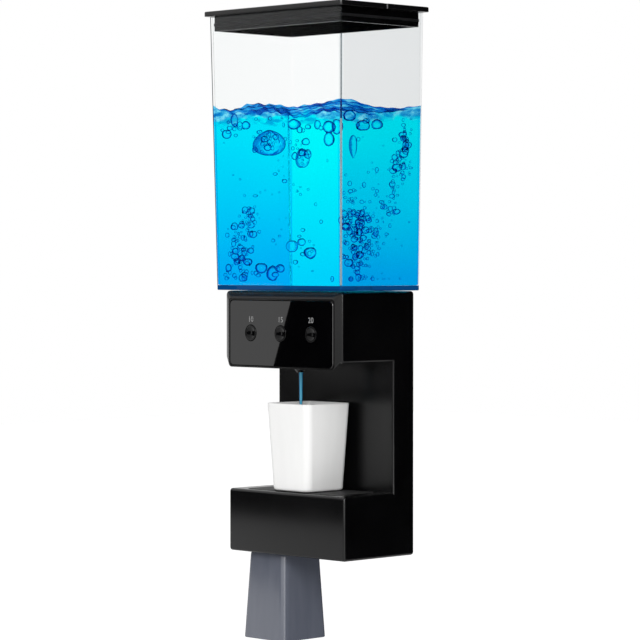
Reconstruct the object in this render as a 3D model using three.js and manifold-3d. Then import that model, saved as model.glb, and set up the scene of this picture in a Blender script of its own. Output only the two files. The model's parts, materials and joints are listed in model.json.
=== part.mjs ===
// A wall-mounted bathroom drink and mouthwash dispenser: a clear tank with a lid stands on a C-shaped
// housing, whose head doses the liquid through a small peristaltic pump into a cup on the shelf below.
// Millimetres. +Z is up, +X is the user's right, and the wall is the plane y = 0 with the front at -Y.
// The heights below are counted from the underside of the housing; the last lines move the whole
// group so that the origin lies in the middle of the adhesive pad, on the wall.
import * as THREE from "three";
import { mergeVertices } from "three/addons/utils/BufferGeometryUtils.js";
import Module from "manifold-3d";

const wasm = await Module();
wasm.setup();

// ---------------------------------------------------------------- driving dimensions
const GAP = 0.3; // running and seating clearance between two pieces
const BOND = 0.1; // glue line between stuck pieces
const SINK = 0.2; // how far a joined solid runs into its neighbour
const PAST = 1; // how far a cutting tool runs past the face that it cuts

const WALL = 2.2; // moulded wall of the housing
const EDGE = 1.5; // outer edge radius of the housing

const BODY_WIDTH = 84;
const BODY_HEIGHT = 133.5;
const HEAD_DEPTH = 51.5;
const COLUMN_DEPTH = 15;
const BASE_DEPTH = 50;
const BASE_HEIGHT = 32;
const HEAD_BOTTOM = 98.2;

const PAD_THICKNESS = 0.8;
const BRACKET_THICKNESS = 2.1;
const BRACKET_WIDTH = 60;
const BRACKET_HEIGHT = 60;
const BRACKET_CORNER = 6;
const BRACKET_MIDDLE = 72; // height of the bracket's middle above the underside of the housing
const PAD_MARGIN = 2; // how far the foam pad stands in from the bracket's edge
const HOOK_SPACING = 36;
const HOOK_WIDTH = 10;
const HOOK_THICKNESS = 2.5;
const HOOK_LIP = 7.5; // height of the hook, lip included
const HOOK_RISE = 8; // height of the hooks above the bracket's middle
const UNIT_LIFT = 8.5; // how far the housing lifts to come off its hooks

const BEZEL_DEPTH = 2;
const BEZEL_INSET = 3.6; // how far the bezel's front edge stands in from the head's sides and top
const BEZEL_DROP = 3.7; // how far the bezel's front edge hangs under the head
const PANEL_THICKNESS = 1.4;
const PANEL_MARGIN = 1; // rim of the bezel round the glass
const PANEL_CORNER = 2;
const PANEL_PLAY = 0.15;
const PEG_RADIUS = 1.5;
const PEG_IN = 9; // how far the bezel's pegs stand in from the head's sides
const PEG_DOWN = 4.5; // how far they stand below the bezel's top
const BUTTON_PITCH = 21.8;
const BUTTON_RADIUS = 4;
const BUTTON_TRAVEL = 0.6;
const BUTTON_DISH = 0.5; // how deep the button's face is hollowed
const BUTTON_PROUD = 0.2;
const BUTTON_FLANGE = 1.2; // collar that keeps the button behind the head's wall
const BUTTON_FLANGE_THICKNESS = 0.8;
const PLUNGER_RADIUS = 1.7;
const PLUNGER_SINK = 0.8; // how far the plunger stands in its switch at rest
const SWITCH_WIDTH = 6;
const SWITCH_DEPTH = 3.2;
const SWITCH_SETBACK = 2.9; // from the head's inner wall to the switches' bodies
const CONTROL_BOARD_WIDTH = 62;
const CONTROL_BOARD_BELOW = 4; // how far the board reaches below the buttons' middle line
const CONTROL_BOARD_LEGS = [-29, 24]; // left edges of its two legs, on each side of the nozzle
const CONTROL_BOARD_LEG = 5;
const CONTROL_BOARD_THICKNESS = 1.6;

const TANK_BOTTOM_WIDTH = 90.6;
const TANK_TOP_WIDTH = 96;
const TANK_BACK = 2.6; // distance of the tank's upright back from the wall
const TANK_BOTTOM_DEPTH = 56.4;
const TANK_TOP_DEPTH = 58.9;
const TANK_HEIGHT = 139.5;
const TANK_WALL = 1.2;
const TANK_FLOOR = 2.5;
const TANK_CORNER = 1.6;
const SPOUT_RADIUS = 5.5;
const SPOUT_BORE = 4;
const SPOUT_LENGTH = 9.5;
const SPOUT_X = 21.5;
const SPOUT_Y = -19;
const SPOUT_SEAL_SECTION = 1.6; // height of the ring seal
const SPOUT_SEAL_RISE = 3.2; // height of the ring seal above the spout's end
const SPOUT_SEAL_DEPTH = 0.9; // how deep its groove is cut
const VALVE_BORE = 2.8;
const VALVE_RISE = 0.6;
const VALVE_THICKNESS = 1.8;
const SOCKET_DEPTH = 12.5;
const SOCKET_PLAY = 1; // the ring seal fills this gap round the spout
const SOCKET_WALL = 1.5;
const SOCKET_FOOT = 4.5; // the block under the socket's floor
const SOCKET_FLANGE = 2.4;
const SOCKET_FLANGE_THICKNESS = 1.2;
const PROBE_RADIUS = 2.5;
const PROBE_BORE = 1.2;
const PROBE_HEIGHT = 5.5;
const OUTLET_DROP = 2.2; // how far the side outlet lies below the socket's floor
const BARB_RADIUS = 0.9; // the stubs that the dose tube is pushed on to
const BARB_BORE = 0.5;
const BARB_LENGTH = 4;

const LID_THICKNESS = 2.5;
const LID_OVERHANG = 2.2;
const SKIRT_DEPTH = 7.5;
const SKIRT_WALL = 1.6;
const SKIRT_PLAY = 0.5;
const SEAL_RISE = 2.4; // height of the seal's groove above the skirt's foot
const SEAL_GROOVE_HEIGHT = 1.8;
const SEAL_GROOVE_DEPTH = 0.8;
const SEAL_PLAY = 0.2;
const SEAL_REACH = 0.15; // how far the seal stands out of the skirt towards the tank
const NOTCH_RADIUS = 1.6; // finger notch in the lid's side edges
const NOTCH_OUT = 0.4; // how far the notch's middle lies outside the edge
const LID_CORNER = 2;
const SKIRT_CORNER = 1;

const CUP_RIM = 31.5;
const CUP_FOOT = 27;
const CUP_HEIGHT = 44.2;
const CUP_WALL = 1.6;
const CUP_FLOOR = 3.2;
const CUP_CORNER = 4;
const CUP_DISC_RADIUS = 8;
const CUP_DISC_THICKNESS = 1.4;
const CUP_DISC_INSET = 0.1;
const CUP_Y = -37.2; // the cup on the shelf stands on the middle line
const HANGING_X = 20.5; // two places under the base, one on each side
const HANGING_Y = -34;
const MAGNET_HEIGHT = 3;
const SHELF_MAGNET_RADIUS = 10;
const HANGING_MAGNET_RADIUS = 7;
const POCKET_WALL = 1.2; // ring walls that keep the magnets in place
const POCKET_LIP = 1; // how far the ring wall reaches below the shelf's magnet

const MAT_THICKNESS = 1;
const MAT_WIDTH = 64;
const MAT_DEPTH = 29;
const MAT_CORNER = 3;
const MAT_PROUD = 0.2; // how far the mat stands out of its recess
const MAT_Y = CUP_Y + 1.5;

const PUMP_Y = -20; // the pump's axis runs along X
const PUMP_Z = 115.8;
const PUMP_LEFT = -31.6; // left face of the pump's cover
const PUMP_RADIUS = 14;
const PUMP_WALL = 1.4;
const PUMP_COVER = 1.5;
const PUMP_BODY = 12.2; // length of the pump's body
const PUMP_FLOOR = 1.8;
const PUMP_SHAFT = 1.8;
const TUBE_RADIUS = 2;
const TUBE_BORE = 1.2;
const TUBE_SETBACK = 6.3; // from the pump's left face to the tube
const ROLLER_RADIUS = 2.5;
const ROLLER_ORBIT = 5.6;
const ROLLER_PIN = 0.9;
const ROLLERS = 3;
const ROTOR_RADIUS = 7.2;
const ROTOR_DISC = 1;
const ROTOR_PLAY = 0.6; // between the rotor's discs and the pump's walls
const GEAR_MODULE = 0.5;
const GEAR_TEETH = 28;
const PINION_TEETH = 12;
const GEAR_WIDTH = 3;
const GEAR_SETBACK = 1.2; // between the gears and the gear case's left end
const GEAR_PLAY = 0.04; // added to the distance between the two gears' axes
const GEAR_BACKLASH = 0.09; // taken off each flank, along the pitch circle
const PRESSURE_ANGLE = (20 * Math.PI) / 180;
const ADDENDUM = 0.9; // in modules
const DEDENDUM = 1.3;
const GEAR_CASE_DEPTH = 7.7;
const GEAR_CASE_FLOOR = 1.5;
const LOBE_PLAY = 0.8; // between the pinion's teeth and the gear case
const MESH_ANGLE = (213 * Math.PI) / 180; // direction from the pump's axis to the motor's, from +Y to +Z
const MOTOR_RADIUS = 9;
const MOTOR_LENGTH = 21;
const MOTOR_NECK = 1.2; // length of the bearing necks at the motor's two ends
const MOTOR_NECK_RADIUS = 3;
const MOTOR_SHAFT = 0.8;
const MOTOR_SHAFT_DEPTH = 4;
const CRADLE_THICKNESS = 1.6; // the ribs that carry the pump and the motor
const CRADLE_DEPTH = 14;
const PUMP_CRADLE = 4;
const MOTOR_CRADLE = 4.5;

const NOZZLE_Y = -42.4;
const NOZZLE_DROP = 5.9; // how far the nozzle stands out under the head
const NOZZLE_RADIUS = 3.2;
const NOZZLE_TIP_RADIUS = 1.9;
const NOZZLE_TIP = 1.5; // height of the tapered tip
const NOZZLE_COLLAR = 1.6;
const NOZZLE_BORE = 1;
const NOZZLE_BARB_RISE = 4.2; // height of the side barb above the head's floor
const NOZZLE_CAP = 2.4; // how far the nozzle reaches above the barb
const COLLAR_THICKNESS = 1;
const SENSOR_X = 13;
const SENSOR_RADIUS = 4;
const SENSOR_COLLAR = 1.4;
const SENSOR_BOARD = [10, 5.6, 1.2];
const SENSOR_BOARD_RISE = 3.6;
const SENSOR_EYE_RADIUS = 1.5;
const SENSOR_EYES = [-2.2, 2.2]; // the sender and the receiver

const CELL_RADIUS = 9.15;
const CELL_LENGTH = 65;
const CELL_Y = -15.5;
const CELL_Z = 12.5;
const CELL_CAP_RADIUS = 3;
const CELL_CAP = 1.2;
const HOLDER_SIDE = 9.7; // half of the battery holder's depth
const HOLDER_END = 2.6;
const HOLDER_PLAY = 0.8;
const CONTACT_THICKNESS = 0.4;
const CONTACT_GAP = 0.25;
const CHARGE_BOARD_YS = [-50.5, -32.5];
const CHARGE_BOARD_RIGHT = -22;
const CHARGE_BOARD_THICKNESS = 1.2;
const CHARGE_RIB = 1.4;
const CHARGE_RIBS = [-38.6, -31.2]; // left faces of the two ribs under the charging board
const SOCKET_SETBACK = 1.5; // how far the charging socket's mouth stands in from the side wall
const SOCKET_SHEET = 0.4;
const PLUG_WIDTH = 13.4;
const PLUG_HEIGHT = 7.4;
const PLUG_THICKNESS = 1;
const WIRE = 0.7; // radius of a lead

const SCREW_RADIUS = 1.05;
const SCREW_HEAD_RADIUS = 2.4;
const SCREW_HEAD = 1.2;
const SCREW_LENGTH = 12;
const BOSS_RADIUS = 3.8;
const SCREW_INSET = 0.1; // how far the heads lie below the cover's face
const CROSS_LENGTH = 2.8;
const CROSS_WIDTH = 0.6;
const CROSS_DEPTH = 0.5;

// ---------------------------------------------------------------- derived places
const BODY_BACK = -(PAD_THICKNESS + BRACKET_THICKNESS + GAP);
const HALF = BODY_WIDTH / 2;
const INNER = HALF - WALL;
const HEAD_FRONT = BODY_BACK - HEAD_DEPTH;
const BASE_FRONT = BODY_BACK - BASE_DEPTH;
const COLUMN_FRONT = BODY_BACK - COLUMN_DEPTH;
const COVER_INNER = BODY_BACK - WALL; // inner face of the back cover
const BEZEL_FRONT = HEAD_FRONT - BEZEL_DEPTH;
const BEZEL_TOP = BODY_HEIGHT - BEZEL_DROP;
const BEZEL_BOTTOM = HEAD_BOTTOM - BEZEL_DROP;
const BUTTON_Z = (BEZEL_TOP + BEZEL_BOTTOM) / 2;
const TANK_Z = BODY_HEIGHT + GAP;
const TANK_TOP = TANK_Z + TANK_HEIGHT;
const BOSS_X = INNER - BOSS_RADIUS + SINK; // the screw bosses grow out of the side walls
const BOSS_LOW = 25.8;
const BOSS_HIGH = 127;
const HEAD_FLOOR = HEAD_BOTTOM + WALL; // inner floor of the head
const BASE_CEILING = BASE_HEIGHT - WALL;
const HOOK_Z = BRACKET_MIDDLE + HOOK_RISE;
const MAT_TOP = BASE_HEIGHT + MAT_PROUD;

// ---------------------------------------------------------------- materials
const finish = (color, roughness, metalness = 0, extra = {}) =>
  new THREE.MeshStandardMaterial({ color, roughness, metalness, ...extra });
const BLACK_ABS = finish(0x17181a, 0.35);
const BLACK_GLASS = finish(0x050506, 0.05);
const CLEAR = finish(0xe8f2f5, 0.05, 0, { transparent: true, opacity: 0.3 });
const WHITE = finish(0xf2f2f0, 0.35);
const SMOKE = finish(0x686e78, 0.25, 0, { transparent: true, opacity: 0.8 });
const STEEL = finish(0xb4b6b8, 0.35, 1);
const NICKEL = finish(0xc9c9c4, 0.2, 1);
const BRASS = finish(0xb08d45, 0.3, 1);
const NYLON = finish(0xe6e2d6, 0.5);
const SILICONE = finish(0xdfe3e4, 0.6);
const RUBBER = finish(0x1c1c1d, 0.8);
const BOARD = finish(0x1d5a35, 0.5);
const CELL = finish(0x2f6fa8, 0.4);
const FOAM = finish(0xd8d8d6, 0.9);
const RED_LEAD = finish(0xa31d1d, 0.5);
const BLACK_LEAD = finish(0x111111, 0.5);

// ---------------------------------------------------------------- solids
// A closed three.js geometry as a manifold-3d solid.
function solid(geometry) {
  const bare = geometry.index ? geometry.toNonIndexed() : geometry.clone();
  for (const name of Object.keys(bare.attributes)) {
    if (name !== "position") bare.deleteAttribute(name);
  }
  const merged = mergeVertices(bare, 1e-4);
  return new wasm.Manifold(
    new wasm.Mesh({
      numProp: 3,
      vertProperties: new Float32Array(merged.attributes.position.array),
      triVerts: new Uint32Array(merged.index.array),
    }),
  );
}

// The solid's surface as a three.js geometry.
function surface(manifold) {
  const mesh = manifold.getMesh();
  const step = mesh.numProp;
  const positions = new Float32Array(mesh.numVert * 3);
  for (let i = 0; i < mesh.numVert; i += 1) {
    positions.set(mesh.vertProperties.subarray(i * step, i * step + 3), i * 3);
  }
  const geometry = new THREE.BufferGeometry();
  geometry.setAttribute("position", new THREE.BufferAttribute(positions, 3));
  geometry.setIndex(new THREE.BufferAttribute(new Uint32Array(mesh.triVerts), 1));
  geometry.computeVertexNormals();
  return geometry;
}

const join = (first, ...rest) => rest.reduce((a, b) => a.add(b), first);
const cut = (body, ...tools) => tools.reduce((a, b) => a.subtract(b), body);

// A box between two values on each axis.
function box([x0, x1], [y0, y1], [z0, z1]) {
  const geometry = new THREE.BoxGeometry(x1 - x0, y1 - y0, z1 - z0);
  return solid(geometry.translate((x0 + x1) / 2, (y0 + y1) / 2, (z0 + z1) / 2));
}

// A round bar along an axis, between two values on it. at holds the other two coordinates, X before Y
// before Z.
function rod(axis, radius, [from, to], at, sides = 20) {
  const geometry = new THREE.CylinderGeometry(radius, radius, to - from, sides);
  const middle = (from + to) / 2;
  if (axis === "x") geometry.rotateZ(Math.PI / 2).translate(middle, at[0], at[1]);
  if (axis === "y") geometry.translate(at[0], middle, at[1]);
  if (axis === "z") geometry.rotateX(Math.PI / 2).translate(at[0], at[1], middle);
  return solid(geometry);
}

const ring = (axis, outer, inner, span, at, sides = 20) =>
  rod(axis, outer, span, at, sides).subtract(
    rod(axis, inner, [span[0] - PAST, span[1] + PAST], at, sides),
  );

// A rectangle with round corners, between two values on each axis.
function roundedRectangle([x0, x1], [y0, y1], radius) {
  const shape = new THREE.Shape();
  shape.moveTo(x0 + radius, y0);
  shape.lineTo(x1 - radius, y0);
  shape.absarc(x1 - radius, y0 + radius, radius, -Math.PI / 2, 0, false);
  shape.lineTo(x1, y1 - radius);
  shape.absarc(x1 - radius, y1 - radius, radius, 0, Math.PI / 2, false);
  shape.lineTo(x0 + radius, y1);
  shape.absarc(x0 + radius, y1 - radius, radius, Math.PI / 2, Math.PI, false);
  shape.lineTo(x0, y0 + radius);
  shape.absarc(x0 + radius, y0 + radius, radius, Math.PI, 1.5 * Math.PI, false);
  return shape;
}

// An upright prism with round upright edges.
function prism(xs, ys, [z0, z1], radius, segments = 3) {
  const geometry = new THREE.ExtrudeGeometry(roundedRectangle(xs, ys, radius), {
    depth: z1 - z0,
    bevelEnabled: false,
    curveSegments: segments,
  });
  return solid(geometry.translate(0, 0, z0));
}

// A box whose twelve edges are all rounded by the same radius.
function softBox([x0, x1], [y0, y1], [z0, z1], radius) {
  const flat = roundedRectangle(
    [x0 + radius, x1 - radius],
    [y0 + radius, y1 - radius],
    0.01,
  );
  const geometry = new THREE.ExtrudeGeometry(flat, {
    depth: z1 - z0 - 2 * radius,
    bevelThickness: radius,
    bevelSize: radius,
    bevelSegments: 3,
    curveSegments: 3,
  });
  return solid(geometry.translate(0, 0, z0 + radius));
}

// A prism drawn out or in towards its top: place(t) gives its spans on X and Y at the share t of its
// height.
function drafted(place, [z0, z1], radius, segments = 3) {
  const [[left, right], [front, back]] = place(0);
  const geometry = new THREE.ExtrudeGeometry(roundedRectangle([left, right], [front, back], radius), {
    depth: 1,
    bevelEnabled: false,
    curveSegments: segments,
  });
  const points = geometry.attributes.position;
  for (let i = 0; i < points.count; i += 1) {
    const share = points.getZ(i);
    const [[x0, x1], [y0, y1]] = place(share);
    points.setXYZ(
      i,
      x0 + ((points.getX(i) - left) * (x1 - x0)) / (right - left),
      y0 + ((points.getY(i) - front) * (y1 - y0)) / (back - front),
      z0 + share * (z1 - z0),
    );
  }
  return solid(geometry);
}

// A hollow or solid tube along a smooth curve through the given points.
function tubeAlong(points, radius, bore, steps, sides = 8) {
  const path = new THREE.CatmullRomCurve3(points.map((p) => new THREE.Vector3(...p)));
  const circle = (r) =>
    Array.from({ length: sides }, (_, i) => {
      const angle = (2 * Math.PI * i) / sides;
      return new THREE.Vector2(r * Math.cos(angle), r * Math.sin(angle));
    });
  const section = new THREE.Shape(circle(radius));
  if (bore) section.holes.push(new THREE.Path(circle(bore).reverse()));
  return solid(
    new THREE.ExtrudeGeometry(section, { steps, extrudePath: path, bevelEnabled: false }),
  );
}

// ---------------------------------------------------------------- assembly
const dispenser = new THREE.Group();

function add(name, made, material) {
  const mesh = new THREE.Mesh(surface(made), material);
  mesh.name = name;
  dispenser.add(mesh);
}

// The wall plate with its two hooks, and the foam pad that sticks it to the wall.
function wallBracket() {
  const half = BRACKET_HEIGHT / 2;
  const tall = [BRACKET_MIDDLE - half, BRACKET_MIDDLE + half];
  const wide = [-BRACKET_WIDTH / 2, BRACKET_WIDTH / 2];
  const plateFront = -(PAD_THICKNESS + BRACKET_THICKNESS);
  const lipBack = COVER_INNER - 2 * GAP;
  const lipFront = lipBack - HOOK_THICKNESS;
  const hooks = [-1, 1].map((side) => {
    const middle = (side * HOOK_SPACING) / 2;
    const xs = [middle - HOOK_WIDTH / 2, middle + HOOK_WIDTH / 2];
    return join(
      box(xs, [lipFront, plateFront + SINK], [HOOK_Z, HOOK_Z + HOOK_THICKNESS]),
      box(xs, [lipFront, lipBack], [HOOK_Z, HOOK_Z + HOOK_LIP]),
    );
  });
  const plateBack = -(PAD_THICKNESS + BOND);
  const plate = new THREE.ExtrudeGeometry(roundedRectangle(wide, tall, BRACKET_CORNER), {
    depth: plateBack - plateFront,
    bevelEnabled: false,
    curveSegments: 4,
  });
  add(
    "wall_bracket",
    join(solid(plate.rotateX(Math.PI / 2).translate(0, plateBack, 0)), ...hooks),
    BLACK_ABS,
  );
  const within = ([low, high]) => [low + PAD_MARGIN, high - PAD_MARGIN];
  const pad = new THREE.ExtrudeGeometry(
    roundedRectangle(within(wide), within(tall), BRACKET_CORNER - PAD_MARGIN),
    { depth: PAD_THICKNESS, bevelEnabled: false, curveSegments: 4 },
  );
  add("adhesive_pad", solid(pad.rotateX(Math.PI / 2)), FOAM);
}

const BOSSES = [BOSS_LOW, BOSS_HIGH].flatMap((z) => [-1, 1].map((side) => [side * BOSS_X, z]));
const BUTTON_XS = [-BUTTON_PITCH, 0, BUTTON_PITCH];
const PEGS = [-1, 1].map((side) => [side * (HALF - PEG_IN), BEZEL_TOP - PEG_DOWN]);
const SENSOR_AT = [SENSOR_X, NOZZLE_Y];
const SHELF_MAGNET_AT = [0, CUP_Y];
const HANGING_MAGNETS_AT = [-1, 1].map((side) => [side * HANGING_X, HANGING_Y]);
const USB = { y: -42, z: 15, width: 9, height: 3.4, depth: 7.2 };
const BOARD_Z = USB.z - USB.height / 2 - GAP;
const GEAR_DISTANCE = (GEAR_MODULE * (GEAR_TEETH + PINION_TEETH)) / 2 + GEAR_PLAY;
const MOTOR_Y = PUMP_Y + GEAR_DISTANCE * Math.cos(MESH_ANGLE);
const MOTOR_Z = PUMP_Z + GEAR_DISTANCE * Math.sin(MESH_ANGLE);
const GEAR_CASE_LEFT = PUMP_LEFT + PUMP_COVER + PUMP_BODY + 2 * GAP;
const MOTOR_LEFT = GEAR_CASE_LEFT + GEAR_CASE_DEPTH + GAP;

// The C-shaped moulding: head, column and base in one shell that is open at the back.
function mainHousing() {
  const outer = join(
    softBox([-HALF, HALF], [HEAD_FRONT, BODY_BACK], [HEAD_BOTTOM, BODY_HEIGHT], EDGE),
    softBox([-HALF, HALF], [COLUMN_FRONT, BODY_BACK], [0, BODY_HEIGHT], EDGE),
    softBox([-HALF, HALF], [BASE_FRONT, BODY_BACK], [0, BASE_HEIGHT], EDGE),
  );
  const across = [-INNER, INNER];
  const behind = BODY_BACK + PAST;
  const hollow = join(
    box(across, [HEAD_FRONT + WALL, behind], [HEAD_FLOOR, BODY_HEIGHT - WALL]),
    box(across, [COLUMN_FRONT + WALL, behind], [WALL, BODY_HEIGHT - WALL]),
    box(across, [BASE_FRONT + WALL, behind], [WALL, BASE_CEILING]),
  );
  const bosses = BOSSES.map(([x, z]) => {
    const wall = (z < BASE_HEIGHT ? BASE_FRONT : HEAD_FRONT) + WALL;
    return rod("y", BOSS_RADIUS, [wall - SINK, COVER_INNER - GAP], [x, z], 16);
  });
  const pilots = BOSSES.map(([x, z]) =>
    rod("y", SCREW_RADIUS + GAP, [COVER_INNER - SCREW_LENGTH, 0], [x, z], 12),
  );
  // Ring walls that hold the magnets under the shelf and over the floor.
  const pocket = (radius, span, at) =>
    ring("z", radius + GAP + POCKET_WALL, radius + GAP, span, at, 20);
  const underShelf = [BASE_CEILING - MAGNET_HEIGHT - POCKET_LIP, BASE_CEILING + SINK];
  const overFloor = [WALL - SINK, WALL + MAGNET_HEIGHT];
  const pockets = [
    pocket(SHELF_MAGNET_RADIUS, underShelf, SHELF_MAGNET_AT),
    ...HANGING_MAGNETS_AT.map((at) => pocket(HANGING_MAGNET_RADIUS, overFloor, at)),
  ];
  // Cradles that carry the pump and the motor: ribs with a round seat.
  const pumpSeat = rod("x", PUMP_RADIUS + GAP, [-INNER, INNER], [PUMP_Y, PUMP_Z], 32);
  const motorSeat = rod("x", MOTOR_RADIUS + GAP, [-INNER, INNER], [MOTOR_Y, MOTOR_Z], 32);
  const rib = (x, y, height) =>
    box(
      [x - CRADLE_THICKNESS / 2, x + CRADLE_THICKNESS / 2],
      [y - CRADLE_DEPTH / 2, y + CRADLE_DEPTH / 2],
      [HEAD_FLOOR - SINK, HEAD_FLOOR + height],
    );
  const pumpEnds = [PUMP_LEFT + 2 * PUMP_COVER, PUMP_LEFT + PUMP_BODY - CRADLE_THICKNESS / 2];
  const motorEnds = [MOTOR_LEFT + PUMP_CRADLE, MOTOR_LEFT + MOTOR_LENGTH - PUMP_CRADLE];
  const cradles = [
    ...pumpEnds.map((x) => cut(rib(x, PUMP_Y, PUMP_CRADLE), pumpSeat)),
    ...motorEnds.map((x) => cut(rib(x, MOTOR_Y, MOTOR_CRADLE), motorSeat)),
  ];
  // Two ribs carry the charging board.
  const [boardFront, boardBack] = CHARGE_BOARD_YS;
  const shelves = CHARGE_RIBS.map((x) =>
    box(
      [x, x + CHARGE_RIB],
      [boardFront + GAP, boardBack - GAP],
      [WALL - SINK, BOARD_Z - CHARGE_BOARD_THICKNESS - GAP],
    ),
  );
  const frontWall = [HEAD_FRONT - PAST, HEAD_FRONT + WALL + PAST];
  const headFloor = [HEAD_BOTTOM - PAST, HEAD_FLOOR + PAST];
  const headTop = [BODY_HEIGHT - WALL - PAST, BODY_HEIGHT + PAST];
  const aroundUsb = (width, height) => [
    [USB.y - width / 2 - GAP, USB.y + width / 2 + GAP],
    [USB.z - height / 2 - GAP, USB.z + height / 2 + GAP],
  ];
  const windows = [
    ...BUTTON_XS.map((x) => rod("y", BUTTON_RADIUS + GAP, frontWall, [x, BUTTON_Z])),
    ...PEGS.map((at) => rod("y", PEG_RADIUS + GAP, frontWall, at, 12)),
    rod("z", NOZZLE_RADIUS + GAP, headFloor, [0, NOZZLE_Y]),
    rod("z", SENSOR_RADIUS + GAP, headFloor, SENSOR_AT),
    rod("z", SOCKET_RADIUS + GAP, headTop, [SPOUT_X, SPOUT_Y], 28),
    prism(
      [-MAT_WIDTH / 2 - GAP, MAT_WIDTH / 2 + GAP],
      [MAT_Y - MAT_DEPTH / 2 - GAP, MAT_Y + MAT_DEPTH / 2 + GAP],
      [BASE_HEIGHT - MAT_THICKNESS, BASE_HEIGHT + PAST],
      MAT_CORNER,
    ),
    box([-HALF - PAST, -INNER + PAST], ...aroundUsb(USB.width, USB.height)),
    box([-HALF - PAST, -HALF + PLUG_THICKNESS + GAP], ...aroundUsb(PLUG_WIDTH, PLUG_HEIGHT)),
  ];
  const shell = join(cut(outer, hollow), ...bosses, ...pockets, ...cradles, ...shelves);
  add("main_housing", cut(shell, ...pilots, ...windows), BLACK_ABS);
}

// The flat cover that closes the housing's back, with slots for the hooks and four screws.
function backCover() {
  const plate = box(
    [-INNER + GAP, INNER - GAP],
    [COVER_INNER, BODY_BACK],
    [WALL + GAP, BODY_HEIGHT - WALL - GAP],
  );
  const through = [COVER_INNER - PAST, BODY_BACK + PAST];
  const slots = [-1, 1].map((side) => {
    const middle = (side * HOOK_SPACING) / 2;
    return box(
      [middle - HOOK_WIDTH / 2 - GAP, middle + HOOK_WIDTH / 2 + GAP],
      through,
      [HOOK_Z - UNIT_LIFT - GAP, HOOK_Z + HOOK_THICKNESS + GAP],
    );
  });
  const headBack = BODY_BACK - SCREW_INSET;
  const headFront = headBack - SCREW_HEAD + GAP;
  const sunk = [headBack - SCREW_HEAD, BODY_BACK + PAST];
  const holes = BOSSES.flatMap((at) => [
    rod("y", SCREW_RADIUS + GAP, through, at, 12),
    rod("y", SCREW_HEAD_RADIUS + GAP, sunk, at, 16),
  ]);
  add("back_cover", cut(plate, ...slots, ...holes), BLACK_ABS);
  BOSSES.forEach((at, i) => {
    const cross = box(
      [at[0] - CROSS_LENGTH / 2, at[0] + CROSS_LENGTH / 2],
      [headBack - CROSS_DEPTH, headBack + PAST],
      [at[1] - CROSS_WIDTH / 2, at[1] + CROSS_WIDTH / 2],
    );
    const screw = join(
      rod("y", SCREW_HEAD_RADIUS, [headFront, headBack], at, 16),
      rod("y", SCREW_RADIUS, [headFront - SCREW_LENGTH + 2, headFront + SINK], at, 10),
    );
    add(`cover_screw_${i + 1}`, cut(screw, cross), STEEL);
  });
}

// The drooping bezel in front of the head, and the black glass panel set into it.
function fascia() {
  const front = [
    [-HALF + BEZEL_INSET, HALF - BEZEL_INSET],
    [BEZEL_BOTTOM, BEZEL_TOP],
  ];
  const back = [
    [-HALF, HALF],
    [HEAD_BOTTOM, BODY_HEIGHT],
  ];
  // Built lying down, drawn out from its back to its front, and then stood up.
  const depth = BEZEL_DEPTH - BOND;
  const between = (a, b, t) => [0, 1].map((i) => a[i] + (b[i] - a[i]) * t);
  const lying = drafted(
    (t) => [between(back[0], front[0], t), between(back[1], front[1], t)],
    [0, depth],
    EDGE,
  );
  const stood = lying.rotate([90, 0, 0]).translate([0, HEAD_FRONT - BOND, 0]);
  const panelXs = [front[0][0] + PANEL_MARGIN, front[0][1] - PANEL_MARGIN];
  const panelZs = [front[1][0] + PANEL_MARGIN, front[1][1] - PANEL_MARGIN];
  const pane = (grow, [y0, y1]) => {
    const shape = roundedRectangle(
      [panelXs[0] - grow, panelXs[1] + grow],
      [panelZs[0] - grow, panelZs[1] + grow],
      PANEL_CORNER,
    );
    const geometry = new THREE.ExtrudeGeometry(shape, {
      depth: y1 - y0,
      bevelEnabled: false,
      curveSegments: 4,
    });
    return solid(geometry.rotateX(Math.PI / 2).translate(0, y1, 0));
  };
  const buttonHoles = BUTTON_XS.map((x) =>
    rod("y", BUTTON_RADIUS + GAP, [BEZEL_FRONT - PAST, HEAD_FRONT + PAST], [x, BUTTON_Z]),
  );
  const pocketFloor = BEZEL_FRONT + PANEL_THICKNESS + BOND;
  const pegSpan = [HEAD_FRONT - BOND - SINK, HEAD_FRONT + WALL];
  const pegs = PEGS.map((at) => rod("y", PEG_RADIUS, pegSpan, at, 12));
  const bezel = cut(stood, pane(PANEL_PLAY, [BEZEL_FRONT - PAST, pocketFloor]));
  add("fascia_bezel", cut(join(bezel, ...pegs), ...buttonHoles), BLACK_ABS);
  const glass = pane(0, [BEZEL_FRONT, BEZEL_FRONT + PANEL_THICKNESS]);
  add("control_panel", cut(glass, ...buttonHoles), BLACK_GLASS);
}

const SWITCH_FRONT = HEAD_FRONT + WALL + SWITCH_SETBACK;
const BOARD_FRONT = SWITCH_FRONT + SWITCH_DEPTH;
const BOARD_BACK = BOARD_FRONT + CONTROL_BOARD_THICKNESS;

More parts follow.
